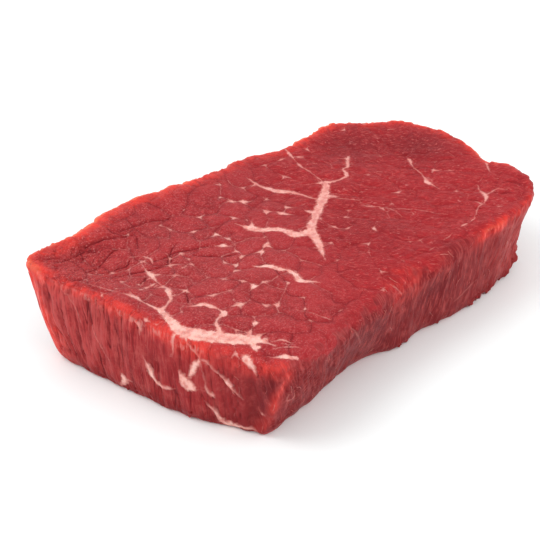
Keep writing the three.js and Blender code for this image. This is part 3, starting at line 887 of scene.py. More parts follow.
# %% Foot tags
# Each tag is x, y, z and its length.
FOOT_TAGS = [(-3, -50.5, 1.2, 2.2), (1, -51, 1.0, 2.0), (18, -52, 1.0, 1.4),
             (36, -53.6, 1.2, 2.8), (38.5, -54, 3.5, 2.4), (40.5, -54.5, 1.2, 2.2),
             (47, -53, 1.2, 2.2), (50, -54, 2.5, 2.0), (58, -53.5, 1.4, 2.0),
             (62, -52.5, 1.4, 3.0), (64.5, -52, 3.5, 2.6), (67, -51.5, 6.0, 2.4),
             (71, -48.5, 1.5, 3.0), (70, -50.5, 9.0, 2.6), (74, -48, 4.0, 3.0),
             (77, -46.5, 1.5, 3.2), (79, -45, 6.0, 2.8), (81.5, -42.5, 1.5, 3.2),
             (83, -38, 4.5, 2.6), (86, -31, 1.5, 3.0), (90, -10, 1.2, 2.4), (-80, -20, 1.0, 1.2),
             (-84, 5, 1.0, 1.2), (88, 20, 1.2, 2.6), (60, 40, 1.2, 2.4), (40, 46, 1.2, 2.8),
             (-10, 50, 1.2, 2.8), (-30, 52, 1.2, 2.4), (-55, 52, 1.2, 2.6)]
FOOT_STEPS = [-61, -52, -42, -34, -24]  # mm along the steak, where the torn sheets end
STEP_LENGTH, STEP_END, STEP_HEIGHT = 8.0, 1.0, 7.0  # mm
STEP_STRENGTH = 0.5  # how far a step is pulled out, as a share of a tag's reach
RAGGED_PLACE, RAGGED_REACH = (76, -46, 6), 15.0  # mm, the whole corner is torn there
RAGGED_STRENGTH = 0.6

tags = RAGGED_STRENGTH * spot(RAGGED_PLACE, RAGGED_REACH) * wall
for *place, length in FOOT_TAGS:
    tags = np.maximum(tags, spot(place, length) * wall)
low = smooth_step(STEP_HEIGHT, 1.0, points[:, 2]) * (points[:, 1] < 0) * wall
for step in FOOT_STEPS:
    rising = smooth_step(step - STEP_LENGTH, step, points[:, 0])
    ending = smooth_step(step + STEP_END, step, points[:, 0])
    tags = np.maximum(tags, STEP_STRENGTH * np.minimum(rising, ending) * low)
print("share of the surface that is torn:", (tags > 0.2).mean().round(4))

# %% [markdown]
# ## Where loose fibres stick up
#
# The knife leaves thin strands hanging on the walls, most of them on the long side, and short
# ones in the lying grain. Their number for each square millimetre is kept, and later the strands
# are strewn by it. On the near rim the fibre ends are combed over it and look pale, which is kept
# as a share for the colours.

# %% Strand density
COMBED_LINE = [(-86, 21, 35.5), (-85, 12, 35.5), (-84, 4, 35), (-83.5, -6, 35), (-83, -13, 34),
               (-82, -22, 33)]
COMBED_REACH = 4.0  # mm from that line
COMBED_DEPTH = (3.5, 1.5)  # mm from the rim, where none and all of it is combed
# Strands for each square mm: of every wall, how many more of a long side, and of the lying grain
ON_WALLS, ON_LONG_SIDES, ON_GRAIN = 0.001, 0.022, 0.003

cut_along = smooth_step(0.6, 0.15, cross_cut) * (1 - wall) * (normals[:, 2] > 0)
combed = smooth_step(2 * COMBED_REACH, COMBED_REACH, distance_to(COMBED_LINE))
combed *= smooth_step(*COMBED_DEPTH, rim)
strands = wall * (ON_WALLS + ON_LONG_SIDES * long_side) + ON_GRAIN * cut_along
strands *= normals[:, 2] > -0.5
surface_area = sum(polygon.area for polygon in mesh.polygons) / MM ** 2
print("strands expected, about:", int(strands.mean() * surface_area))


# %% Store the attributes
def store(name, values):
    kind = "FLOAT_VECTOR" if values.ndim == 2 else "FLOAT"
    attribute = mesh.attributes.new(name, kind, "POINT")
    attribute.data.foreach_set("vector" if values.ndim == 2 else "value",
                               values.astype(np.float32).ravel())


VECTORS = {"cut_mm": points, "column": column, "fibre_way": fibre_way, "vein_offset": vein_offset,
           "gap_offset": gap_offset}
SHARES = {"wall": wall, "under": under, "cross_cut": cross_cut, "long_side": long_side,
          "dried": dried, "calm": calm, "rim_mm": rim, "painted_glow": painted_glow, "tone": tone, "tags": tags,
          "combed": combed, "strands": strands, "vein_edge": vein_edge, "vein_half": vein_half,
          "gap_edge": gap_edge, "gap_half": gap_half, "gap_open": gap_open}
for name, values in {**VECTORS, **SHARES}.items():
    store(name, values)
print("attributes:", len(VECTORS) + len(SHARES))

# %% [markdown]
# ## Muscle relief
#
# The relief follows a rule: swollen bundles with cracks between them where the fibres are cut
# across, fine ridges where they lie flat, upright flutes on the walls, and fat that stands a
# little proud and smooth. A Geometry Nodes tree moves every vertex along its normal by the sum,
# with each size as an input, so a looser or a tighter grain is one number away. Sculpting by hand
# could not be changed that way, and bump alone would leave the outline smooth.

# %% Relief sizes
RELIEF_SIZES = {
    "Crack depth": 0.5,
    "Bundle swell": 0.35,
    "Fibre pitch": 1.2,
    "Fibre relief": 0.4,
    "Furrow depth": 0.3,
    "Wrinkle depth": 0.45,
    "Flute pitch": 4.2,
    "Flute relief": 1.5,
    "Groove depth": 0.9,
    "Rim pitch": 3.2,
    "Rim relief": 1.2,
    "Flake size": 4.5,
    "Flake step": 0.9,
    "Fray pitch": 1.4,
    "Foot fray": 1.2,
    "Tag reach": 2.2,
    "Fat rise": 0.12,
}  # mm
FIBRE_LENGTH = 3.6  # mm, a fibre ridge of the top face
FURROW = (8.0, 2.2)  # mm, the length and the spacing of the folds between lying fibres
FLUTE_LENGTH, FRAY_LENGTH = 26.0, 3.0  # mm, a flute of the walls, and a shred of the foot
GROOVE = (26.0, 2.2)  # mm, the length and the spacing of the dark grooves of the walls
WRINKLE = (5.0, 1.5)  # mm, the length and the spacing of the wrinkles by the raised corner
RELIEF_WIDTH = 0.12  # of a groove or a wrinkle, in steps of its noise
FIBRE_BEND, WRINKLE_BEND = (16.0, 11.0), (5.0, 5.0)  # mm, how long a bend is, and how wide
GROOVE_PATCHES = 13.0  # mm, how far the grooves run on before a stretch has none

MATH, VECTOR, RANGE = "ShaderNodeMath", "ShaderNodeVectorMath", "ShaderNodeMapRange"
MIX, NOISE = "ShaderNodeMix", "ShaderNodeTexNoise"
TIMES, LESS, PLUS = ({"operation": name} for name in ("MULTIPLY", "SUBTRACT", "ADD"))
EASED = {"interpolation_type": "SMOOTHSTEP"}


# %% Starting and closing a tree
def new_tree(name):
    tree = bpy.data.node_groups.new(name, "GeometryNodeTree")
    tree.interface.new_socket("Geometry", in_out="INPUT", socket_type="NodeSocketGeometry")
    tree.interface.new_socket("Geometry", in_out="OUTPUT", socket_type="NodeSocketGeometry")
    return tree


def add_inputs(tree, sizes):
    """A named number input for each size, and one for the material."""
    for name, value in sizes.items():
        socket = tree.interface.new_socket(name, in_out="INPUT", socket_type="NodeSocketFloat")
        socket.default_value = value
    tree.interface.new_socket("Material", in_out="INPUT", socket_type="NodeSocketMaterial")
    return put(tree, "NodeGroupInput").outputs


def close_tree(tree, geometry, sizes, place=None):
    """Ends a tree in a plain mesh with its material. Where a place is given, each vertex moves
    there, but none goes below the table."""
    geometry = put(tree, "GeometryNodeRealizeInstances", {0: geometry})
    if place:
        parts = put(tree, "ShaderNodeSeparateXYZ", {0: place}).outputs
        floor = put(tree, MATH, {0: parts["Z"], 1: 0.0}, operation="MAXIMUM")
        place = put(tree, "ShaderNodeCombineXYZ", {0: parts["X"], 1: parts["Y"], 2: floor})
        geometry = put(tree, "GeometryNodeSetPosition", {"Geometry": geometry, "Position": place})
    finished = put(tree, "GeometryNodeSetMaterial", {"Geometry": geometry,
                                                     "Material": sizes["Material"]})
    put(tree, "NodeGroupOutput", {"Geometry": finished})


def read_all(tree, names=(*VECTORS, *SHARES)):
    """Attributes of the mesh as sockets, by name, in a geometry tree or in a shader tree."""
    found = {}
    for name in names:
        if tree.type == "GEOMETRY":
            kind = "FLOAT_VECTOR" if name in VECTORS else "FLOAT"
            found[name] = put(tree, "GeometryNodeInputNamedAttribute", {"Name": name},
                              data_type=kind).outputs[0]
        else:
            node = put(tree, "ShaderNodeAttribute", attribute_name=name)
            found[name] = node.outputs["Vector" if name in VECTORS else "Fac"]
    return found


# %% [markdown]
# Some patterns are wanted twice, by the relief and by the colour, and both have to agree. So the
# part of a tree that makes such a pattern is one function, which either kind of tree can call.

# %% Patterns of the top face
def bent_place(tree, cut, size, reach, detail=2.0):
    """The place on the steak, pushed aside by a noise of that size, so that a pattern bends."""
    bend = put(tree, NOISE, {"Vector": cut["cut_mm"], "Scale": 1 / size, "Detail": detail})
    bend = put(tree, VECTOR, {0: bend.outputs["Color"], "Scale": reach}, operation="SCALE")
    return put(tree, VECTOR, {0: cut["cut_mm"], 1: bend}, **PLUS)


def lying(tree, cut):
    """How much of the fibre lines shows, which is where the fibres lie along the cut."""
    return put(tree, RANGE, {0: cut["cross_cut"], 1: 0.6, 2: 0.15})


def opened(tree, cut):
    """How much of the cracks shows, which is only where the cut is square to the fibres."""
    square = put(tree, RANGE, {0: cut["cross_cut"], 1: 0.25, 2: 0.6})
    open_share = put(tree, RANGE, {0: cut["gap_open"]})
    return put(tree, MATH, {0: open_share, 1: square}, **TIMES)


def along_grain(tree, cut, length, pitch, detail=3.0):
    """Noise in long thin patches that run with the lying fibres, bent a little on the way."""
    bent = bent_place(tree, cut, *FIBRE_BEND, detail=3.0)
    turned = put(tree, "ShaderNodeVectorRotate", {"Vector": bent, "Angle": -GRAIN_HEADING},
                 rotation_type="Z_AXIS")
    across = put(tree, MATH, {0: 1.0, 1: pitch}, operation="DIVIDE")
    scale = put(tree, "ShaderNodeCombineXYZ", {0: 1 / length, 1: across, 2: 0.25})
    stretched = put(tree, VECTOR, {0: turned, 1: scale}, **TIMES)
    return put(tree, NOISE, {"Vector": stretched, "Scale": 1.0, "Detail": detail,
                             "Roughness": 0.65})


def furrows(tree, cut):
    """Folds between the lying fibres, 1 at the bottom of a fold."""
    folds = along_grain(tree, cut, *FURROW, detail=1.0)
    folds = put(tree, RANGE, {0: folds, 1: 0.60, 2: 0.74}, **EASED)
    return put(tree, MATH, {0: folds, 1: lying(tree, cut)}, **TIMES)


# %% Patterns of the walls and of the dried strip
def flutes(tree, cut, length, pitch, detail=3.0):
    """Noise in long upright patches on the walls, in the fibre columns' coordinates."""
    across = put(tree, MATH, {0: 1.0, 1: pitch}, operation="DIVIDE")
    scale = put(tree, "ShaderNodeCombineXYZ", {0: across, 1: across, 2: 1 / length})
    stretched = put(tree, VECTOR, {0: cut["column"], 1: scale}, **TIMES)
    return put(tree, NOISE, {"Vector": stretched, "Scale": 1.0, "Detail": detail,
                             "Roughness": 0.55})


def valleys(tree, noise, width):
    """1 along the lines where a noise passes its middle value, which wind but never cross."""
    middle = put(tree, MATH, {0: noise, 1: 0.5}, **LESS)
    middle = put(tree, MATH, {0: middle}, operation="ABSOLUTE")
    return put(tree, RANGE, {0: middle, 1: width, 2: 0.0}, **EASED)


def grooves(tree, cut, width):
    """Upright grooves between the fibre bundles of the walls, 1 at the bottom."""
    lines = valleys(tree, flutes(tree, cut, *GROOVE, detail=0.0), width)
    patches = put(tree, NOISE, {"Vector": cut["cut_mm"], "Scale": 1 / GROOVE_PATCHES,
                                "Detail": 1.0})
    patches = put(tree, RANGE, {0: patches, 1: 0.36, 2: 0.5}, **EASED)
    return put(tree, MATH, {0: lines, 1: patches}, **TIMES)


def wrinkles(tree, cut, width):
    """Short wrinkles along the strip where the cut has dried, 1 at the bottom."""
    bent = bent_place(tree, cut, *WRINKLE_BEND)
    scale = (1 / WRINKLE[0], 1 / WRINKLE[1], 1 / WRINKLE[0])
    stretched = put(tree, VECTOR, {0: bent, 1: scale}, **TIMES)
    noise = put(tree, NOISE, {"Vector": stretched, "Scale": 1.0, "Detail": 1.0})
    return put(tree, MATH, {0: valleys(tree, noise, width), 1: cut["dried"]}, **TIMES)


# %% Relief of the top face
def centred(tree, noise, size):
    """A noise that swings about zero, by that size in all."""
    swing = put(tree, MATH, {0: noise, 1: 0.5}, **LESS)
    return put(tree, MATH, {0: swing, 1: size}, **TIMES)


def top_relief(tree, sizes, cut):
    """Swollen bundles and cracks where the fibres are cut across, ridges where they lie flat."""
    apart = cut["gap_edge"]
    swell = put(tree, RANGE, {0: apart, 1: 0.0, 2: 1.8, 4: sizes["Bundle swell"]}, **EASED)
    crack = put(tree, RANGE, {0: apart, 1: 0.4, 2: -0.1, 4: sizes["Crack depth"]}, **EASED)
    crack = put(tree, MATH, {0: crack, 1: opened(tree, cut)}, **TIMES)
    bundles = put(tree, MATH, {0: swell, 1: crack}, **LESS)
    folds = wrinkles(tree, cut, RELIEF_WIDTH)
    folds = put(tree, MATH, {0: folds, 1: sizes["Wrinkle depth"]}, **TIMES)
    bundles = put(tree, MATH, {0: bundles, 1: folds}, **LESS)
    ridges = along_grain(tree, cut, FIBRE_LENGTH, sizes["Fibre pitch"])
    ridges = centred(tree, ridges, sizes["Fibre relief"])
    ridges = put(tree, MATH, {0: ridges, 1: lying(tree, cut)}, **TIMES)
    folds = put(tree, MATH, {0: furrows(tree, cut), 1: sizes["Furrow depth"]}, **TIMES)
    ridges = put(tree, MATH, {0: ridges, 1: folds}, **LESS)
    return put(tree, MATH, {0: bundles, 1: ridges}, **PLUS)


# %% Relief of the rim
def rim_relief(tree, sizes, cut):
    """Lumps along the cut edge, and flakes that end in a step, which make its outline uneven."""
    near = put(tree, RANGE, {0: cut["rim_mm"], 1: 4.0, 2: 0.3}, **EASED)
    scale = put(tree, MATH, {0: 1.0, 1: sizes["Rim pitch"]}, operation="DIVIDE")
    lumps = put(tree, NOISE, {"Vector": cut["cut_mm"], "Scale": scale, "Detail": 3.0,
                              "Roughness": 0.6})
    lumps = centred(tree, lumps, sizes["Rim relief"])
    scale = put(tree, MATH, {0: 1.0, 1: sizes["Flake size"]}, operation="DIVIDE")
    flakes = put(tree, "ShaderNodeTexVoronoi", {"Vector": cut["cut_mm"], "Scale": scale})
    flakes = put(tree, "ShaderNodeSeparateXYZ", {0: flakes.outputs["Color"]}).outputs["X"]
    flakes = centred(tree, flakes, sizes["Flake step"])
    uneven = put(tree, MATH, {0: lumps, 1: flakes}, **PLUS)
    return put(tree, MATH, {0: uneven, 1: near}, **TIMES)


# %% Relief of the walls
def foot_relief(tree, sizes, cut):
    """The torn line at the foot, which dies out a few millimetres up, and the tags."""
    height = put(tree, "ShaderNodeSeparateXYZ", {0: cut["cut_mm"]}).outputs["Z"]
    near = put(tree, RANGE, {0: height, 1: 4.0, 2: 0.5, 4: sizes["Foot fray"]}, **EASED)
    torn = flutes(tree, cut, FRAY_LENGTH, sizes["Fray pitch"])
    fray = centred(tree, torn, near)
    spiky = put(tree, RANGE, {0: torn, 1: 0.4, 2: 0.65, 3: 0.3, 4: 1.2})
    tag = put(tree, MATH, {0: cut["tags"], 1: sizes["Tag reach"]}, **TIMES)
    tag = put(tree, MATH, {0: tag, 1: spiky}, **TIMES)
    return put(tree, MATH, {0: fray, 1: tag}, **PLUS)


def wall_relief(tree, sizes, cut):
    """Flutes and grooves, which the near end shows most, and the foot."""
    swell = flutes(tree, cut, FLUTE_LENGTH, sizes["Flute pitch"])
    swell = centred(tree, swell, sizes["Flute relief"])
    groove = grooves(tree, cut, RELIEF_WIDTH)
    groove = put(tree, MATH, {0: groove, 1: sizes["Groove depth"]}, **TIMES)
    swell = put(tree, MATH, {0: swell, 1: groove}, **LESS)
    shown = put(tree, RANGE, {0: cut["cross_cut"], 1: 0.4, 2: 0.9, 3: 0.5, 4: 1.0})
    swell = put(tree, MATH, {0: swell, 1: shown}, **TIMES)
    return put(tree, MATH, {0: swell, 1: foot_relief(tree, sizes, cut)}, **PLUS)


# %% Relief tree: all of it
def relief_tree():
    tree = new_tree("muscle_relief")
    sizes = add_inputs(tree, RELIEF_SIZES)
    cut = read_all(tree)
    muscle = put(tree, MIX, {0: cut["wall"], 2: top_relief(tree, sizes, cut),
                             3: wall_relief(tree, sizes, cut)})
    muscle = put(tree, MATH, {0: muscle, 1: rim_relief(tree, sizes, cut)}, **PLUS)
    fat = put(tree, RANGE, {0: cut["vein_edge"], 1: 0.3, 2: -0.3}, **EASED)
    relief = put(tree, MIX, {0: fat, 2: muscle, 3: sizes["Fat rise"]})
    # The underside rests on the table, so it may hollow in but never swell out
    inwards = put(tree, MATH, {0: relief, 1: 0.0}, operation="MINIMUM")
    relief = put(tree, MIX, {0: cut["under"], 2: relief, 3: inwards})
    metres = put(tree, MATH, {0: relief, 1: MM}, **TIMES)
    shift = put(tree, VECTOR, {0: put(tree, "GeometryNodeInputNormal"), "Scale": metres},
                operation="SCALE")
    moved = put(tree, VECTOR, {0: put(tree, "GeometryNodeInputPosition"), 1: shift}, **PLUS)
    close_tree(tree, sizes["Geometry"], sizes, moved)
    return tree


def run_tree(piece, tree, material):
    """Runs a geometry tree on the piece, with its material, and keeps the plain mesh."""
    modifier = piece.modifiers.new(tree.name, "NODES")
    modifier.node_group = tree
    for item in tree.interface.items_tree:
        if item.in_out == "INPUT" and item.socket_type == "NodeSocketMaterial":
            modifier[item.identifier] = material
    settle(piece)
    for polygon in piece.data.polygons:
        polygon.use_smooth = True
    print(piece.name + ":", triangles(piece.data), "triangles")


# %% [markdown]
# ## The finish: knife-cut raw muscle and fat
#
# Raw beef is a wet red gel full of fine fibres. Light goes about a millimetre into it, so edges
# and thin parts look brighter and redder, and a thin film of juice gives it a soft sheen. The
# colour is built up in coats, as the meat is: muscle first, then grains or fibres, cracks, the
# streaks of the walls, the glowing rim, and the fat on top. Some coats are painted light: the
# rim's glow and highlights, glints among the pale grains, and shade in the cracks, folds,
# wrinkles and grooves, beside the gaps, in the crease, along the foot and over the long side. A
# picture laid over it would be tied to one view, and these patterns go on round every side.

# %% Colours
COLOURS = {
    "muscle_dark": "#88181d",
    "muscle": "#9f2429",
    "muscle_light": "#ae3336",
    "muscle_far": "#981f25",
    "muscle_red": "#ad1f25",
    "speck": "#cf7f7c",
    # pale grain ends, partly painted glints
    "grain": "#d07f7b",
    # painted shade in the open cracks and the folds
    "crack": "#750c15",
    # dark seams and the dark between the grains, and painted shade beside the gaps and in wrinkles
    "seam_and_shade": "#7a1019",
    "fibre_pale": "#c25d59",
    "fibre_dark": "#74161b",
    "wall": "#95282b",
    # dark streaks of the walls, and painted shade along their foot
    "wall_dark": "#70191d",
    "wall_pale": "#b5504d",
    # painted shade at the bottom of the grooves
    "groove": "#5f1318",
    # painted shade of the long side
    "long_side_shade": "#722023",
    "shade": "#651a20",
    "rag": "#a31a22",
    "light": "#bb4746",
    # painted glow of the rim, pale painted streaks in it, and a painted highlight on its lip
    "painted_glow": "#e03e34",
    "painted_glow_streak": "#e4706a",
    "painted_lip_highlight": "#ec7c5c",
    "fat": "#d98f85",
    "fat_pale": "#ebb8ad",
    "fat_thin": "#cb7d76",
}
HUES = {name: linear(value) for name, value in COLOURS.items()}
print("hues:", len(HUES))


def painted(tree, colour, coats):
    """Lays coats over a colour in the order given, each a share and the name of a hue."""
    for share, hue in coats:
        colour = put(tree, MIX, {0: share, 6: colour, 7: HUES[hue]}, data_type="RGBA")
    return colour


# %% [markdown]
# A vein, fleck or crack is drawn from its offset attribute. A little noise is added to the offset
# first, so that no edge is drawn with a ruler.

# %% Lines from offsets
MID_GREY = (0.5, 0.5, 0.5)  # the middle of a noise's colour
SWELLS = 3.2  # mm, how far apart a sheet swells and thins
RAGS, RAGGED_BY = 1.5, 0.9  # mm, the size and the reach of the ragged edge of a thick sheet
THICK_HALF = (0.45, 0.75)  # mm, the half widths where a sheet starts and ends to count as thick


def line_share(tree, cut, kind, outer, inner, wobble):
    """1 on the middle of the nearest sheet of that kind, eased from outer to inner, in mm."""
    offset = cut[kind + "_offset"]
    for size, reach in wobble:
        noise = put(tree, NOISE, {"Vector": cut["cut_mm"], "Scale": 1 / size, "Detail": 2.0})
        push = put(tree, VECTOR, {0: noise.outputs["Color"], 1: MID_GREY}, **LESS)
        push = put(tree, VECTOR, {0: push, "Scale": reach}, operation="SCALE")
        offset = put(tree, VECTOR, {0: offset, 1: push}, **PLUS)
    length = put(tree, VECTOR, {0: offset}, operation="LENGTH").outputs["Value"]
    # The sheet swells and thins along its way, a thick one no more than a thin one
    swell = put(tree, NOISE, {"Vector": cut["cut_mm"], "Scale": 1 / SWELLS, "Detail": 1.0})
    swell = put(tree, RANGE, {0: swell, 1: 0.35, 2: 0.65, 3: -0.45, 4: 0.2})
    least = put(tree, MATH, {0: cut[kind + "_half"], 1: 0.7}, operation="MINIMUM")
    swell = put(tree, MATH, {0: swell, 1: least}, **TIMES)
    half = put(tree, MATH, {0: cut[kind + "_half"], 1: swell}, **PLUS)
    outside = put(tree, MATH, {0: length, 1: half}, **LESS)
    # A thick sheet needs only the plain distance, which has no jump where two sheets meet
    ragged = put(tree, NOISE, {"Vector": cut["cut_mm"], "Scale": 1 / RAGS, "Detail": 2.0})
    ragged = put(tree, RANGE, {0: ragged, 3: -RAGGED_BY, 4: RAGGED_BY})
    plain = put(tree, MATH, {0: cut[kind + "_edge"], 1: ragged}, **PLUS)
    thin, full = THICK_HALF
    thick = put(tree, RANGE, {0: cut[kind + "_half"], 1: thin, 2: full})
    outside = put(tree, MIX, {0: thick, 2: outside, 3: plain})
    drawn = put(tree, RANGE, {0: outside, 1: outer, 2: inner}, **EASED)
    near = put(tree, RANGE, {0: cut[kind + "_edge"], 1: 1.1, 2: 0.7}, **EASED)
    return put(tree, MATH, {0: drawn, 1: near}, **TIMES)


# %% Paler and darker places in the colour
def tone_coats(tree, cut):
    """Coats that lie under the grains and the streaks, so that all of the fine detail stays
    crisp."""
    # The shade coat holds the darker places and the painted shade of the crease.
    return [(put(tree, RANGE, {0: cut["tone"], 1: 0.0, 2: -1.0, 4: 0.8}), "shade"),
            (put(tree, RANGE, {0: cut["tone"], 1: 0.0, 2: 1.0, 4: 0.6}), "light")]


# %% Finish of the top face
GRAIN_SIZE = 0.7  # mm, the cut end of a fibre bundle
GRAIN_BEND = (1.3, 1.4)  # mm
GRAIN_PATCHES = 5.0  # mm
FIBRE = (2.0, 0.45)  # mm, length and width, drawn coarser than real fibres so that it shows
SPECK = (1.6, 0.7)  # mm, a cut end of fat among the fibres
BROAD_PATCHES, FINE_PATCHES = 18.0, 2.5  # mm, of paler muscle
# The dark bottom of a wrinkle is painted shade.
WRINKLE_SHADE_WIDTH = 0.06  # the width of a wrinkle's dark bottom, in steps of its noise
GAP_WOBBLE = ((3.0, 0.9), (1.0, 0.4))  # the size and the reach of a gap's bends, in mm


def cut_ends(tree, cut):
    """Cut ends of fibre bundles: how pale, the pale ends being partly painted glints, how dark
    between them, and the height, which are all stronger towards the raised corner."""
    bent = bent_place(tree, cut, *GRAIN_BEND)
    pebbles = put(tree, "ShaderNodeTexVoronoi", {"Vector": bent, "Scale": 1 / GRAIN_SIZE})
    apart = pebbles.outputs["Distance"]
    each = put(tree, "ShaderNodeSeparateXYZ", {0: pebbles.outputs["Color"]}).outputs["X"]
    patchy = put(tree, NOISE, {"Vector": cut["cut_mm"], "Scale": 1 / GRAIN_PATCHES,
                               "Detail": 3.0})
    patchy = put(tree, RANGE, {0: patchy, 1: 0.3, 2: 0.65, 3: 0.4, 4: 1.0})
    ends = put(tree, RANGE, {0: cut["cross_cut"], 1: 0.1, 2: 1.0, 3: 0.1, 4: 1.0})
    amount = put(tree, MATH, {0: patchy, 1: ends}, **TIMES)
    pale = put(tree, RANGE, {0: apart, 1: 0.5, 2: 0.1}, **EASED)
    each = put(tree, RANGE, {0: each, 3: 0.15, 4: 1.0})
    pale = put(tree, MATH, {0: pale, 1: each}, **TIMES)
    dark = put(tree, RANGE, {0: apart, 1: 0.45, 2: 0.75}, **EASED)
    height = put(tree, RANGE, {0: apart, 1: 0.7, 2: 0.1}, **EASED)
    return [put(tree, MATH, {0: share, 1: amount}, **TIMES) for share in (pale, dark, height)]


# %% Gaps of the top face
def gap_coats(tree, cut):
    """The painted shade beside the gaps between bundles, and the coats of the gaps and cracks."""
    # Each bundle is painted darker towards its edge, as the shade beside its gap
    beside = put(tree, RANGE, {0: cut["gap_edge"], 1: 1.6, 2: 0.0, 4: 0.35}, **EASED)
    square = put(tree, RANGE, {0: cut["cross_cut"], 1: 0.0, 2: 0.5})
    beside = put(tree, MATH, {0: beside, 1: square}, **TIMES)
    gap = line_share(tree, cut, "gap", 0.22, -0.1, GAP_WOBBLE)
    shade = put(tree, RANGE, {0: cut["cross_cut"], 1: 0.05, 2: 0.5, 3: 0.35, 4: 0.85})
    not_pale = put(tree, RANGE, {0: cut["gap_open"], 1: -1.0, 2: 0.0})
    shade = put(tree, MATH, {0: shade, 1: not_pale}, **TIMES)
    closed = put(tree, MATH, {0: gap, 1: shade}, **TIMES)
    # painted shade in the open cracks
    crack = put(tree, MATH, {0: gap, 1: opened(tree, cut)}, **TIMES)
    return (beside, "seam_and_shade"), [(closed, "seam_and_shade"), (crack, "crack")]


# %% Colour of the top face
def top_finish(tree, cut):
    """The colour of the top face, and the height of its fine detail."""
    broad = put(tree, NOISE, {"Vector": cut["cut_mm"], "Scale": 1 / BROAD_PATCHES,
                              "Detail": 2.0})
    fine = put(tree, NOISE, {"Vector": cut["cut_mm"], "Scale": 1 / FINE_PATCHES, "Detail": 5.0,
                             "Roughness": 0.65})
    flat = lying(tree, cut)
    grains, between, grain_height = cut_ends(tree, cut)
    fibres = along_grain(tree, cut, *FIBRE, detail=4.0)
    fresh = put(tree, RANGE, {0: fine, 1: 0.5, 2: 0.68, 4: 0.6}, **EASED)
    pale = put(tree, RANGE, {0: fibres, 1: 0.53, 2: 0.66, 4: 0.55}, **EASED)
    dark = put(tree, RANGE, {0: fibres, 1: 0.47, 2: 0.34, 4: 0.6}, **EASED)
    specks = along_grain(tree, cut, *SPECK, detail=1.0)
    specks = put(tree, RANGE, {0: specks, 1: 0.68, 2: 0.76, 4: 0.6}, **EASED)
    dried_grains = put(tree, RANGE, {0: cut["dried"], 3: 0.7, 4: 0.95})
    shade_beside_gap, gaps_shown = gap_coats(tree, cut)
    colour = painted(tree, HUES["muscle_dark"], [
        (put(tree, RANGE, {0: broad, 1: 0.3, 2: 0.65}, **EASED), "muscle"),
        (put(tree, RANGE, {0: fine, 1: 0.38, 2: 0.72}, **EASED), "muscle_light"),
        (put(tree, MATH, {0: flat, 1: 0.6}, **TIMES), "muscle_far"),
        (put(tree, MATH, {0: flat, 1: fresh}, **TIMES), "muscle_red"),
        *tone_coats(tree, cut),
        # painted shade, darker towards each bundle's edge beside its gap
        shade_beside_gap,
        (put(tree, MATH, {0: between, 1: 0.5}, **TIMES), "seam_and_shade"),
        # painted shade in the bottoms of the wrinkles
        (put(tree, MATH, {0: wrinkles(tree, cut, WRINKLE_SHADE_WIDTH), 1: 0.7}, **TIMES), "seam_and_shade"),
        # pale grain ends, partly painted glints
        (put(tree, MATH, {0: grains, 1: dried_grains}, **TIMES), "grain"),
        (put(tree, MATH, {0: flat, 1: dark}, **TIMES), "fibre_dark"),
        (put(tree, MATH, {0: flat, 1: pale}, **TIMES), "fibre_pale"),
        (put(tree, MATH, {0: flat, 1: specks}, **TIMES), "speck"),
        # painted shade at the bottom of the folds between lying fibres
        (put(tree, MATH, {0: furrows(tree, cut), 1: 0.5}, **TIMES), "crack"),
        # dark closed gaps, and painted shade in the open cracks
        *gaps_shown])
    lines = put(tree, MATH, {0: fibres, 1: flat}, **TIMES)
    height = put(tree, MATH, {0: fine, 1: lines}, **PLUS)
    return colour, put(tree, MATH, {0: height, 1: grain_height}, **PLUS)


# %% [markdown]
# The walls are the same muscle, seen along its fibres. Their streaks run up the wall: long soft
# ones at the near end, and short broken ones on the long sides, which are painted darker as the
# shaded side. The bottoms of the grooves and a band along the foot are painted shade too. Where
# the knife only pressed the muscle, every streak is drawn towards its middle value, and so fades.

# %% Finish of the walls
END_STREAKS = (24.0, 2.0)  # mm, the length and the width of a streak
SIDE_STREAKS = (5.0, 0.9)
FINE_STREAKS = (5.0, 0.42)
# The dark bottom of a groove is painted shade.
GROOVE_SHADE_WIDTH = 0.035  # the width of a groove's dark bottom, in steps of its noise
WALL_MOTTLE = 5.0  # mm
# The band at the top of a wall is paler, and the darker band at its foot is painted shade.
WALL_TOP, WALL_FOOT_SHADE = (22.0, 33.0), (8.0, 0.0)  # mm, heights where the paler and darker bands run


def streak_coats(tree, pattern, dark, pale):
    """Dark coats where a pattern is low and pale ones where it is high. Both are given as where
    the coat starts, where it is full, and how much of it shows."""
    return [(put(tree, RANGE, {0: pattern, 1: start, 2: full, 4: most}, **EASED), hue)
            for (start, full, most), hue in ((dark, "wall_dark"), (pale, "wall_pale"))]


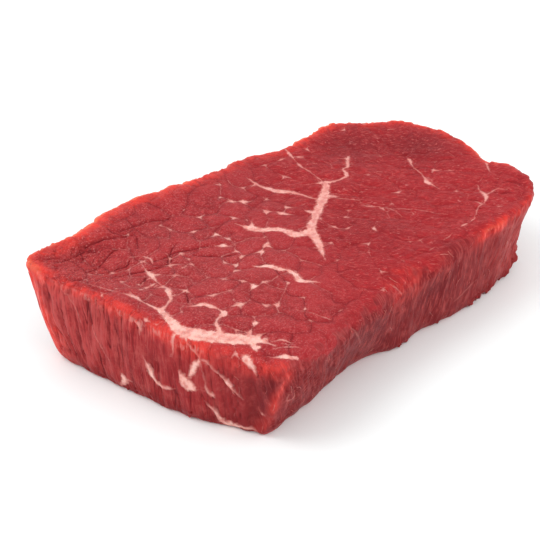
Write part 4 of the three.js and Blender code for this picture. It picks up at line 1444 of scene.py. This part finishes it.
def wall_finish(tree, cut):
    """The colour of the walls, and the height of their fine detail."""
    at_end = flutes(tree, cut, *END_STREAKS, detail=2.0)
    at_side = flutes(tree, cut, *SIDE_STREAKS, detail=5.0)
    at_near_end = put(tree, RANGE, {0: cut["cross_cut"], 1: 0.5, 2: 0.9})
    at_near_end = put(tree, MATH, {0: at_near_end, 1: cut["long_side"]}, **LESS, use_clamp=True)
    streaks = put(tree, MIX, {0: at_near_end, 2: at_side, 3: at_end})
    stringy = put(tree, RANGE, {0: cut["calm"], 3: 1.0, 4: 0.2})
    less_at_side = put(tree, RANGE, {0: cut["long_side"], 3: 1.0, 4: 0.65})
    rough = put(tree, MATH, {0: stringy, 1: less_at_side}, **TIMES)
    streaks = put(tree, MIX, {0: rough, 2: 0.5, 3: streaks})
    more_at_end = put(tree, RANGE, {0: at_near_end, 3: 0.4, 4: 0.85})
    groove_shade = put(tree, MATH, {0: grooves(tree, cut, GROOVE_SHADE_WIDTH), 1: rough}, **TIMES)
    groove_shade = put(tree, MATH, {0: groove_shade, 1: more_at_end}, **TIMES)
    fine = flutes(tree, cut, *FINE_STREAKS)
    fine = put(tree, MIX, {0: stringy, 2: 0.5, 3: fine})
    mottle = put(tree, NOISE, {"Vector": cut["cut_mm"], "Scale": 1 / WALL_MOTTLE,
                               "Detail": 6.0, "Roughness": 0.7})
    height = put(tree, "ShaderNodeSeparateXYZ", {0: cut["cut_mm"]}).outputs["Z"]
    by_height = [put(tree, RANGE, {0: height, 1: start, 2: full, 4: 0.5}, **EASED)
                 for start, full in (WALL_TOP, WALL_FOOT_SHADE)]
    colour = painted(tree, HUES["wall"], [
        # painted shade of the long side
        (put(tree, MATH, {0: cut["long_side"], 1: 0.8}, **TIMES), "long_side_shade"),
        (by_height[0], "muscle_light"),
        *tone_coats(tree, cut),
        *streak_coats(tree, streaks, (0.49, 0.35, 0.65), (0.50, 0.66, 0.55)),
        *streak_coats(tree, mottle, (0.48, 0.30, 0.5), (0.48, 0.70, 0.5)),
        *streak_coats(tree, fine, (0.47, 0.36, 0.45), (0.53, 0.64, 0.45)),
        # painted shade at the bottom of the grooves
        (groove_shade, "groove"),
        # painted shade along the foot of the wall
        (by_height[1], "wall_dark")])
    return colour, put(tree, MATH, {0: mottle, 1: fine}, **PLUS)


# %% [markdown]
# Beef fat is a soft wax, cream to pink, and it hides the red beneath only where it is thick. So
# thin seams and the edges of thick ones are pink, and the small flecks are the pinkest.

# %% Finish of the fat
VEIN_WOBBLE = ((2.4, 1.0), (0.9, 0.45))  # the size and the reach of the ragged edge, in mm
FAT_MOTTLE, RED_SPOTS = 2.6, 1.3  # mm


def fat_share(tree, cut):
    """1 in the fat and 0 in the muscle. Thin seams let the red through, and the walls' seams
    have softer edges."""
    core = line_share(tree, cut, "vein", 0.2, -0.3, VEIN_WOBBLE)
    soft = line_share(tree, cut, "vein", 0.45, -0.7, VEIN_WOBBLE)
    core = put(tree, MIX, {0: cut["wall"], 2: core, 3: soft})
    solid = put(tree, RANGE, {0: cut["vein_half"], 1: 0.05, 2: 0.6, 3: 0.55, 4: 0.96}, **EASED)
    return put(tree, MATH, {0: core, 1: solid}, **TIMES)


def blush(tree, cut):
    """The pink hem of a thick sheet, where the muscle thins out over it."""
    hem = line_share(tree, cut, "vein", 0.75, 0.05, VEIN_WOBBLE)
    thick = put(tree, RANGE, {0: cut["vein_half"], 1: 0.3, 2: 1.0, 4: 0.5}, **EASED)
    return put(tree, MATH, {0: hem, 1: thick}, **TIMES)


def fat_finish(tree, cut):
    """The colour of the fat. Away from the near end the sheets are thinner, and the red shows
    through in spots."""
    mottle = put(tree, NOISE, {"Vector": cut["cut_mm"], "Scale": 1 / FAT_MOTTLE, "Detail": 4.0,
                               "Roughness": 0.6})
    thinner = put(tree, RANGE, {0: cut["cross_cut"], 1: 0.6, 2: 0.2})
    spots = put(tree, NOISE, {"Vector": cut["cut_mm"], "Scale": 1 / RED_SPOTS, "Detail": 3.0,
                              "Roughness": 0.6})
    spots = put(tree, RANGE, {0: spots, 1: 0.50, 2: 0.34, 4: 0.75}, **EASED)
    return painted(tree, HUES["fat"], [
        (put(tree, RANGE, {0: mottle, 1: 0.36, 2: 0.62}, **EASED), "fat_pale"),
        (put(tree, RANGE, {0: mottle, 1: 0.44, 2: 0.32, 4: 0.6}, **EASED), "fat_thin"),
        (put(tree, MATH, {0: thinner, 1: 0.35}, **TIMES), "fat_thin"),
        (put(tree, MATH, {0: thinner, 1: spots}, **TIMES), "speck"),
        (put(tree, RANGE, {0: cut["vein_half"], 1: 1.0, 2: 0.3, 4: 0.8}, **EASED), "fat_thin")])


# %% [markdown]
# The bright edge is thin moist muscle with light behind it, and that light is painted into the
# colour as a glow. A strong glow is whole, and a weak one is broken up by lumps and by the fibres
# that end there, which also leave pale painted streaks in it. Its very lip gets a paler painted
# highlight where the glow is strongest, and along the near rim the combed fibre ends lie over it
# in pale ticks.

# %% Finish of the rim, with its painted glow
RIM_LUMPS, RIM_PATCHES = 3.0, 4.0  # mm
RIM_FIBRES, COMBED_ENDS = (5.0, 0.8), (2.2, 0.7)  # mm, their length and width
# The painted highlight of the lip runs between these distances from the rim.
LIP = (2.2, 0.9)  # mm from the rim, where the palest edge starts and is full


def rim_coats(tree, cut):
    lumps = put(tree, NOISE, {"Vector": cut["cut_mm"], "Scale": 1 / RIM_LUMPS, "Detail": 3.0})
    fibres = flutes(tree, cut, *RIM_FIBRES)
    broken = put(tree, MIX, {0: 0.35, 2: lumps, 3: fibres})
    broken = put(tree, RANGE, {0: broken, 1: 0.42, 2: 0.58, 3: 0.2, 4: 1.0}, **EASED)
    whole = put(tree, RANGE, {0: cut["painted_glow"], 1: 0.45, 2: 1.0})
    most = put(tree, RANGE, {0: fibres, 1: 0.4, 2: 0.6, 3: 0.7, 4: 1.0}, **EASED)
    broken = put(tree, MIX, {0: whole, 2: broken, 3: most})
    broken = put(tree, MIX, {0: cut["calm"], 2: broken, 3: 0.9})
    bright = put(tree, MATH, {0: cut["painted_glow"], 1: broken}, **TIMES)
    lines = put(tree, RANGE, {0: fibres, 1: 0.5, 2: 0.64, 4: 0.75}, **EASED)
    lines = put(tree, MATH, {0: lines, 1: cut["painted_glow"]}, **TIMES)
    lines = put(tree, MIX, {0: cut["calm"], 2: lines, 3: 0.0})
    ends = flutes(tree, cut, *COMBED_ENDS, detail=4.0)
    patches = put(tree, NOISE, {"Vector": cut["cut_mm"], "Scale": 1 / RIM_PATCHES, "Detail": 2.0})
    ends = put(tree, MATH, {0: ends, 1: patches}, **PLUS)
    ends = put(tree, RANGE, {0: ends, 1: 1.0, 2: 1.2, 4: 0.7}, **EASED)
    ends = put(tree, MATH, {0: ends, 1: cut["combed"]}, **TIMES)
    lip_highlight = put(tree, RANGE, {0: cut["rim_mm"], 1: LIP[0], 2: LIP[1], 4: 0.6}, **EASED)
    strongest = put(tree, RANGE, {0: cut["painted_glow"], 1: 0.75, 2: 0.95})
    lip_highlight = put(tree, MATH, {0: lip_highlight, 1: strongest}, **TIMES)
    # painted glow, a painted highlight on the lip and pale painted streaks, then the combed ends
    return [(bright, "painted_glow"), (lip_highlight, "painted_lip_highlight"),
            (put(tree, MATH, {0: lines, 1: cut["wall"]}, **TIMES), "painted_glow_streak"),
            (put(tree, MATH, {0: ends, 1: cut["wall"]}, **TIMES), "fat_thin")]


# %% [markdown]
# The top and the walls meet at the cut edge. At the ends the change is sharp, and along the long
# sides it wanders a few millimetres to either side, because the edge is rolled over there. The
# walls and the far part of the top have dried a little, so they are less shiny.

# %% Where the two finishes meet
WANDER_SIZE, WANDER_REACH = 9.0, 8.0  # mm
BLEND = 1.2  # mm to either side of the wandering line
WET_PATCHES = 4.0  # mm
ROUGHNESS = (0.36, 0.52)  # where it is wettest and driest
FINE_RELIEF = {"Strength": 0.7, "Distance": 0.3 * MM}  # of fibres that are too fine for the mesh
MUSCLE_BLEED = (1.0, 0.22, 0.14)  # how far red, green and blue light go, the farthest being 1
BODY_SHADER = {"IOR": 1.4, "Subsurface Weight": 0.25, "Subsurface Radius": MUSCLE_BLEED,
               "Subsurface Scale": 1.0 * MM}


def new_material(name):
    """A material with an empty tree."""
    material = bpy.data.materials.new(name)
    material.use_nodes = True
    material.node_tree.nodes.clear()
    return material


def close_material(tree, settings):
    """Ends a material's tree in a shader with these settings."""
    shader = put(tree, "ShaderNodeBsdfPrincipled", settings)
    put(tree, "ShaderNodeOutputMaterial", {"Surface": shader})


def on_side(tree, cut):
    """0 in the finish of the top and 1 in that of the walls."""
    sharp = put(tree, RANGE, {0: cut["wall"], 1: 0.3, 2: 0.6}, **EASED)
    wander = put(tree, NOISE, {"Vector": cut["cut_mm"], "Scale": 1 / WANDER_SIZE, "Detail": 3.0})
    wander = put(tree, RANGE, {0: wander, 1: 0.2, 2: 0.8, 3: -WANDER_REACH, 4: WANDER_REACH})
    beyond = put(tree, RANGE, {0: cut["wall"], 1: 0.3, 2: 0.6, 3: -1.0, 4: 1.0})
    beyond = put(tree, MATH, {0: beyond, 1: cut["rim_mm"]}, **TIMES)
    beyond = put(tree, MATH, {0: beyond, 1: wander}, **PLUS)
    beyond = put(tree, RANGE, {0: beyond, 1: -BLEND, 2: BLEND}, **EASED)
    return put(tree, MIX, {0: cut["long_side"], 2: sharp, 3: beyond})


# %% Raw beef
def raw_beef():
    """Cut muscle and fat under a thin film of juice: soft-edged, red, with a broad dull sheen."""
    material = new_material("raw_beef_knife_cut")
    tree = material.node_tree
    cut = read_all(tree)
    top, top_height = top_finish(tree, cut)
    side, side_height = wall_finish(tree, cut)
    at_side = on_side(tree, cut)
    colour = put(tree, MIX, {0: at_side, 6: top, 7: side}, data_type="RGBA")
    colour = painted(tree, colour, [*rim_coats(tree, cut), (blush(tree, cut), "fat_thin")])
    colour = put(tree, MIX, {0: fat_share(tree, cut), 6: colour, 7: fat_finish(tree, cut)},
                 data_type="RGBA")
    height = put(tree, MIX, {0: at_side, 2: top_height, 3: side_height})
    bump = put(tree, "ShaderNodeBump", {**FINE_RELIEF, "Height": height})
    wet = put(tree, NOISE, {"Vector": cut["cut_mm"], "Scale": 1 / WET_PATCHES, "Detail": 4.0})
    wettest, driest = ROUGHNESS
    rough = put(tree, RANGE, {0: wet, 1: 0.3, 2: 0.7, 3: wettest, 4: driest})
    sheen = put(tree, RANGE, {0: cut["cross_cut"], 1: 0.0, 2: 0.5, 3: 0.1, 4: 0.2})
    sheen = put(tree, MIX, {0: cut["wall"], 2: sheen, 3: 0.1})
    close_material(tree, {**BODY_SHADER, "Base Color": colour, "Roughness": rough,
                          "Specular IOR Level": sheen, "Normal": bump})
    return material


run_tree(steak, relief_tree(), raw_beef())

# %% [markdown]
# ## Loose fibres
#
# The strands that the knife left hanging are thin tubes of fat-coloured sleeve, a few millimetres
# long and bowed. A few bent models are made once, strewn over the dressed body by the density
# kept before, and laid along the fibres' way with a little disorder. A particle system would be
# another way, but it leaves nothing that can be exported.

# %% Strand sizes
STRAND_SIZES = {"Strand length": 2.6, "Strand thickness": 0.03, "Strand lift": 0.05}
STRAND_BENDS = (-0.26, -0.1, 0.08, 0.22)  # how far a model bows aside, as a share of its length
STRAND_SEED = 3
STRAND_DISORDER = 0.8  # radians
STRAND_LENGTHS = (0.4, 1.4)  # of one, as a share of the size above
STRAND_SHADER = {"Roughness": 0.42, "IOR": 1.4, "Specular IOR Level": 0.35,
                 "Subsurface Weight": 0.3, "Subsurface Radius": (1.0, 0.3, 0.2),
                 "Subsurface Scale": 0.5 * MM}


# %% Strand models
def strand_models(tree, sizes):
    """Bent tapering tubes of unit length, as instances to pick from."""
    models = put(tree, "GeometryNodeJoinGeometry")
    for bend in STRAND_BENDS:
        middle = put(tree, "ShaderNodeCombineXYZ", {0: 0.1, 1: bend, 2: sizes["Strand lift"]})
        line = put(tree, "GeometryNodeCurveQuadraticBezier",
                   {"Resolution": 6, "Start": (-0.5, 0, 0), "Middle": middle, "End": (0.5, 0, 0)})
        along = put(tree, "GeometryNodeSplineParameter").outputs["Factor"]
        arch = put(tree, MATH, {0: along, 1: math.pi}, **TIMES)
        arch = put(tree, MATH, {0: arch}, operation="SINE")
        taper = put(tree, RANGE, {0: arch, 3: 0.25, 4: 1.0})
        line = put(tree, "GeometryNodeSetCurveRadius", {"Curve": line, "Radius": taper})
        ring = put(tree, "GeometryNodeCurvePrimitiveCircle",
                   {"Resolution": 3, "Radius": sizes["Strand thickness"]})
        tube = put(tree, "GeometryNodeCurveToMesh",
                   {"Curve": line, "Profile Curve": ring.outputs["Curve"], "Fill Caps": True})
        model = put(tree, "GeometryNodeGeometryToInstance", {"Geometry": tube})
        tree.links.new(model.outputs[0], models.inputs[0])
    return models


# %% Strewing the strands
def strand_tree():
    """Strews the models over the walls and lays them along the fibres' way."""
    tree = new_tree("loose_fibres")
    sizes = add_inputs(tree, STRAND_SIZES)
    cut = read_all(tree, ("strands", "fibre_way"))
    per_square_metre = put(tree, MATH, {0: cut["strands"], 1: MM ** -2}, **TIMES)
    strewn = put(tree, "GeometryNodeDistributePointsOnFaces",
                 {"Mesh": sizes["Geometry"], "Density": per_square_metre, "Seed": STRAND_SEED})
    laid_out = put(tree, "FunctionNodeAxesToRotation",
                   {"Primary Axis": strewn.outputs["Normal"], "Secondary Axis": cut["fibre_way"]},
                   primary_axis="Z", secondary_axis="X")
    turn = put(tree, "FunctionNodeRandomValue", {2: -STRAND_DISORDER, 3: STRAND_DISORDER,
                                                 "Seed": STRAND_SEED}, data_type="FLOAT")
    turn = put(tree, "ShaderNodeCombineXYZ", {2: turn.outputs[1]})
    turn = put(tree, "FunctionNodeEulerToRotation", {0: turn})
    turned = put(tree, "FunctionNodeRotateRotation", {"Rotation": laid_out, "Rotate By": turn},
                 rotation_space="LOCAL")
    least, most = STRAND_LENGTHS
    size = put(tree, "FunctionNodeRandomValue", {2: least, 3: most, "Seed": STRAND_SEED + 1},
               data_type="FLOAT")
    length = put(tree, MATH, {0: sizes["Strand length"], 1: MM}, **TIMES)
    size = put(tree, MATH, {0: size.outputs[1], 1: length}, **TIMES)
    pick = put(tree, "FunctionNodeRandomValue", {4: 0, 5: len(STRAND_BENDS) - 1,
                                                 "Seed": STRAND_SEED + 2}, data_type="INT")
    placed = put(tree, "GeometryNodeInstanceOnPoints",
                 {"Points": strewn.outputs["Points"], "Instance": strand_models(tree, sizes),
                  "Pick Instance": True, "Instance Index": pick.outputs[2], "Rotation": turned,
                  "Scale": size})
    close_tree(tree, placed, sizes)
    return tree


# %% Sleeve of the strands
def fibre_sleeve():
    """Wet connective tissue: pale, slightly see-through red, with a soft sheen."""
    material = new_material("loose_fibre_sleeve")
    tree = material.node_tree
    place = put(tree, "ShaderNodeTexCoord").outputs["Object"]
    patches = put(tree, NOISE, {"Vector": place, "Scale": 1 / (6.0 * MM), "Detail": 3.0})
    colour = painted(tree, HUES["wall_pale"], [
        (put(tree, RANGE, {0: patches, 1: 0.42, 2: 0.6}, **EASED), "fat_thin")])
    close_material(tree, {**STRAND_SHADER, "Base Color": colour})
    return material


loose_fibres = new_piece("loose_fibres", steak.data.copy())
run_tree(loose_fibres, strand_tree(), fibre_sleeve())

# %% [markdown]
# ## Torn tags at the foot
#
# A tag is a rag of muscle a few millimetres long that hangs on the lower edge or lies on the
# table. Four lumpy rags are made once, and each place on the list takes one, turned along the
# foot and pressed flat against the table. As pieces of their own they can overhang, which a wall
# moved along its normals cannot do.

# %% Tag places
TAG_OUTWARDS = 0.05  # how far a tag's middle is outside the wall, as a share of its length
TAG_START = 30  # mm outside the outline, where the ray that finds the wall starts
TAG_SIZES = {"Tag width": 0.5, "Tag height": 0.6, "Ragged": 0.8}  # shares of the length
TAG_MODELS = 4
TAG_SEED = 5
TAG_SHADER = {"Roughness": 0.4, "IOR": 1.4, "Specular IOR Level": 0.3, "Subsurface Weight": 0.3,
              "Subsurface Radius": MUSCLE_BLEED, "Subsurface Scale": 0.8 * MM}


def tag_places():
    """A mesh of loose vertices on the outline of the foot, with each tag's length and heading."""
    found = []
    for x, y, z, length in FOOT_TAGS:
        middle = np.array([np.clip(x, *SPINE_X), SPINE_Y])
        inwards = middle - (x, y)
        inwards /= np.linalg.norm(inwards)
        start = Vector((*((x, y) - TAG_START * inwards), z)) * MM
        hit = surface.ray_cast(start, Vector((*inwards, 0)))[0]
        hit = np.array(hit) - np.array([*inwards, 0]) * TAG_OUTWARDS * length * MM
        heading = math.atan2(inwards[0], -inwards[1])
        found.append((*hit, length * MM, heading))
    found = np.array(found)
    places = bpy.data.meshes.new("foot_tags")
    places.from_pydata(found[:, :3].tolist(), [], [])
    for column_index, name in ((3, "length"), (4, "heading")):
        attribute = places.attributes.new(name, "FLOAT", "POINT")
        attribute.data.foreach_set("value", found[:, column_index].astype(np.float32))
    return places


# %% Tag tree
def tag_models(tree, sizes):
    """Lumpy rags of unit length, as instances to pick from."""
    rags = put(tree, "GeometryNodeJoinGeometry")
    for number in range(TAG_MODELS):
        ball = put(tree, "GeometryNodeMeshIcoSphere", {"Radius": 0.5, "Subdivisions": 4})
        place = put(tree, "GeometryNodeInputPosition")
        apart = put(tree, VECTOR, {0: place, 1: (3.0 * number, 0, 0)}, **PLUS)
        lumps = put(tree, NOISE, {"Vector": apart, "Scale": 2.6, "Detail": 3.0})
        lumps = put(tree, VECTOR, {0: lumps.outputs["Color"], 1: MID_GREY}, **LESS)
        lumps = put(tree, VECTOR, {0: lumps, "Scale": sizes["Ragged"]}, operation="SCALE")
        flat = put(tree, "ShaderNodeCombineXYZ", {0: 1.0, 1: sizes["Tag width"],
                                                  2: sizes["Tag height"]})
        flat = put(tree, VECTOR, {0: place, 1: flat}, **TIMES)
        moved = put(tree, VECTOR, {0: flat, 1: lumps}, **PLUS)
        rag = put(tree, "GeometryNodeSetPosition", {"Geometry": ball.outputs["Mesh"],
                                                    "Position": moved})
        rag = put(tree, "GeometryNodeGeometryToInstance", {"Geometry": rag})
        tree.links.new(rag.outputs[0], rags.inputs[0])
    return rags


def tag_tree():
    """Puts a model at each place, and presses it flat against the table."""
    tree = new_tree("foot_tags")
    sizes = add_inputs(tree, TAG_SIZES)
    tag = read_all(tree, ("length", "heading"))
    turn = put(tree, "ShaderNodeCombineXYZ", {2: tag["heading"]})
    turn = put(tree, "FunctionNodeEulerToRotation", {0: turn})
    pick = put(tree, "FunctionNodeRandomValue", {4: 0, 5: TAG_MODELS - 1, "Seed": TAG_SEED},
               data_type="INT")
    places = put(tree, "GeometryNodeMeshToPoints", {"Mesh": sizes["Geometry"]})
    placed = put(tree, "GeometryNodeInstanceOnPoints",
                 {"Points": places, "Instance": tag_models(tree, sizes), "Pick Instance": True,
                  "Instance Index": pick.outputs[2], "Rotation": turn,
                  "Scale": tag["length"]})
    close_tree(tree, placed, sizes, put(tree, "GeometryNodeInputPosition"))
    return tree


# %% Torn meat
def torn_meat():
    """Torn wet muscle, redder than the cut faces because thin rags let light through."""
    material = new_material("torn_meat_rag")
    tree = material.node_tree
    place = put(tree, "ShaderNodeTexCoord").outputs["Object"]
    patches = put(tree, NOISE, {"Vector": place, "Scale": 1 / (1.6 * MM), "Detail": 4.0})
    colour = painted(tree, HUES["wall_dark"], [
        (put(tree, RANGE, {0: patches, 1: 0.42, 2: 0.6}, **EASED), "rag"),
        (put(tree, RANGE, {0: patches, 1: 0.6, 2: 0.7, 4: 0.5}, **EASED), "wall_pale")])
    bump = put(tree, "ShaderNodeBump", {"Strength": 0.6, "Distance": 0.25 * MM, "Height": patches})
    close_material(tree, {**TAG_SHADER, "Base Color": colour, "Normal": bump})
    return material


foot_tags = new_piece("foot_tags", tag_places())
run_tree(foot_tags, tag_tree(), torn_meat())

# %% [markdown]
# ## Table and light
#
# The steak lies on a white table under plain soft light that comes mostly from the back left, so
# the top is the brightest face, the near end comes next, and a faint shadow falls to the right.
# Two large round lamps and a white sky keep every shadow soft, as they are in the photo.

# %% Table and light
TABLE_SIZE = 4.0  # metres
TABLE_WHITE = "#f3f7f7"
# The place in metres, the size in metres and the strength in watts
LAMPS = {"window": ((-0.5, 0.5, 0.85), 0.8, 4.5), "reflector": ((0.2, -0.8, 0.6), 0.9, 2.7)}


def white_laminate():
    """Matt pressed laminate: it throws soft light back up at the meat, and mirrors nothing."""
    material = new_material("white_laminate")
    close_material(material.node_tree, {"Base Color": linear(TABLE_WHITE), "Roughness": 0.7})
    return material


def make_table():
    half = TABLE_SIZE / 2
    flat = bpy.data.meshes.new("table")
    flat.from_pydata([(-half, -half, 0), (half, -half, 0), (half, half, 0), (-half, half, 0)], [],
                     [(0, 1, 2, 3)])
    flat.materials.append(white_laminate())
    new_piece("table", flat)


def soft_light(name, place, size, watts):
    data = bpy.data.lights.new(name, "AREA")
    data.shape, data.size, data.energy = "DISK", size, watts
    light = bpy.data.objects.new(name, data)
    bpy.context.scene.collection.objects.link(light)
    light.location = place
    light.rotation_mode = "QUATERNION"
    light.rotation_quaternion = (-Vector(place)).to_track_quat("-Z", "Y")


def white_sky():
    world = bpy.data.worlds.new("studio")
    world.use_nodes = True
    sky = world.node_tree.nodes["Background"]
    sky.inputs["Color"].default_value = linear("#ffffff")
    sky.inputs["Strength"].default_value = 1.0
    bpy.context.scene.world = world


make_table()
for name, lamp in LAMPS.items():
    soft_light(name, *lamp)
white_sky()
bpy.context.scene.view_settings.view_transform = "Standard"
print("lamps:", len(LAMPS), "and the sky")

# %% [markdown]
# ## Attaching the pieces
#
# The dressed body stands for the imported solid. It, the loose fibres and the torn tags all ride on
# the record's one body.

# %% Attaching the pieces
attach(steak, "root")
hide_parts("sirloin_steak")
for piece in (loose_fibres, foot_tags):
    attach(piece, "root")
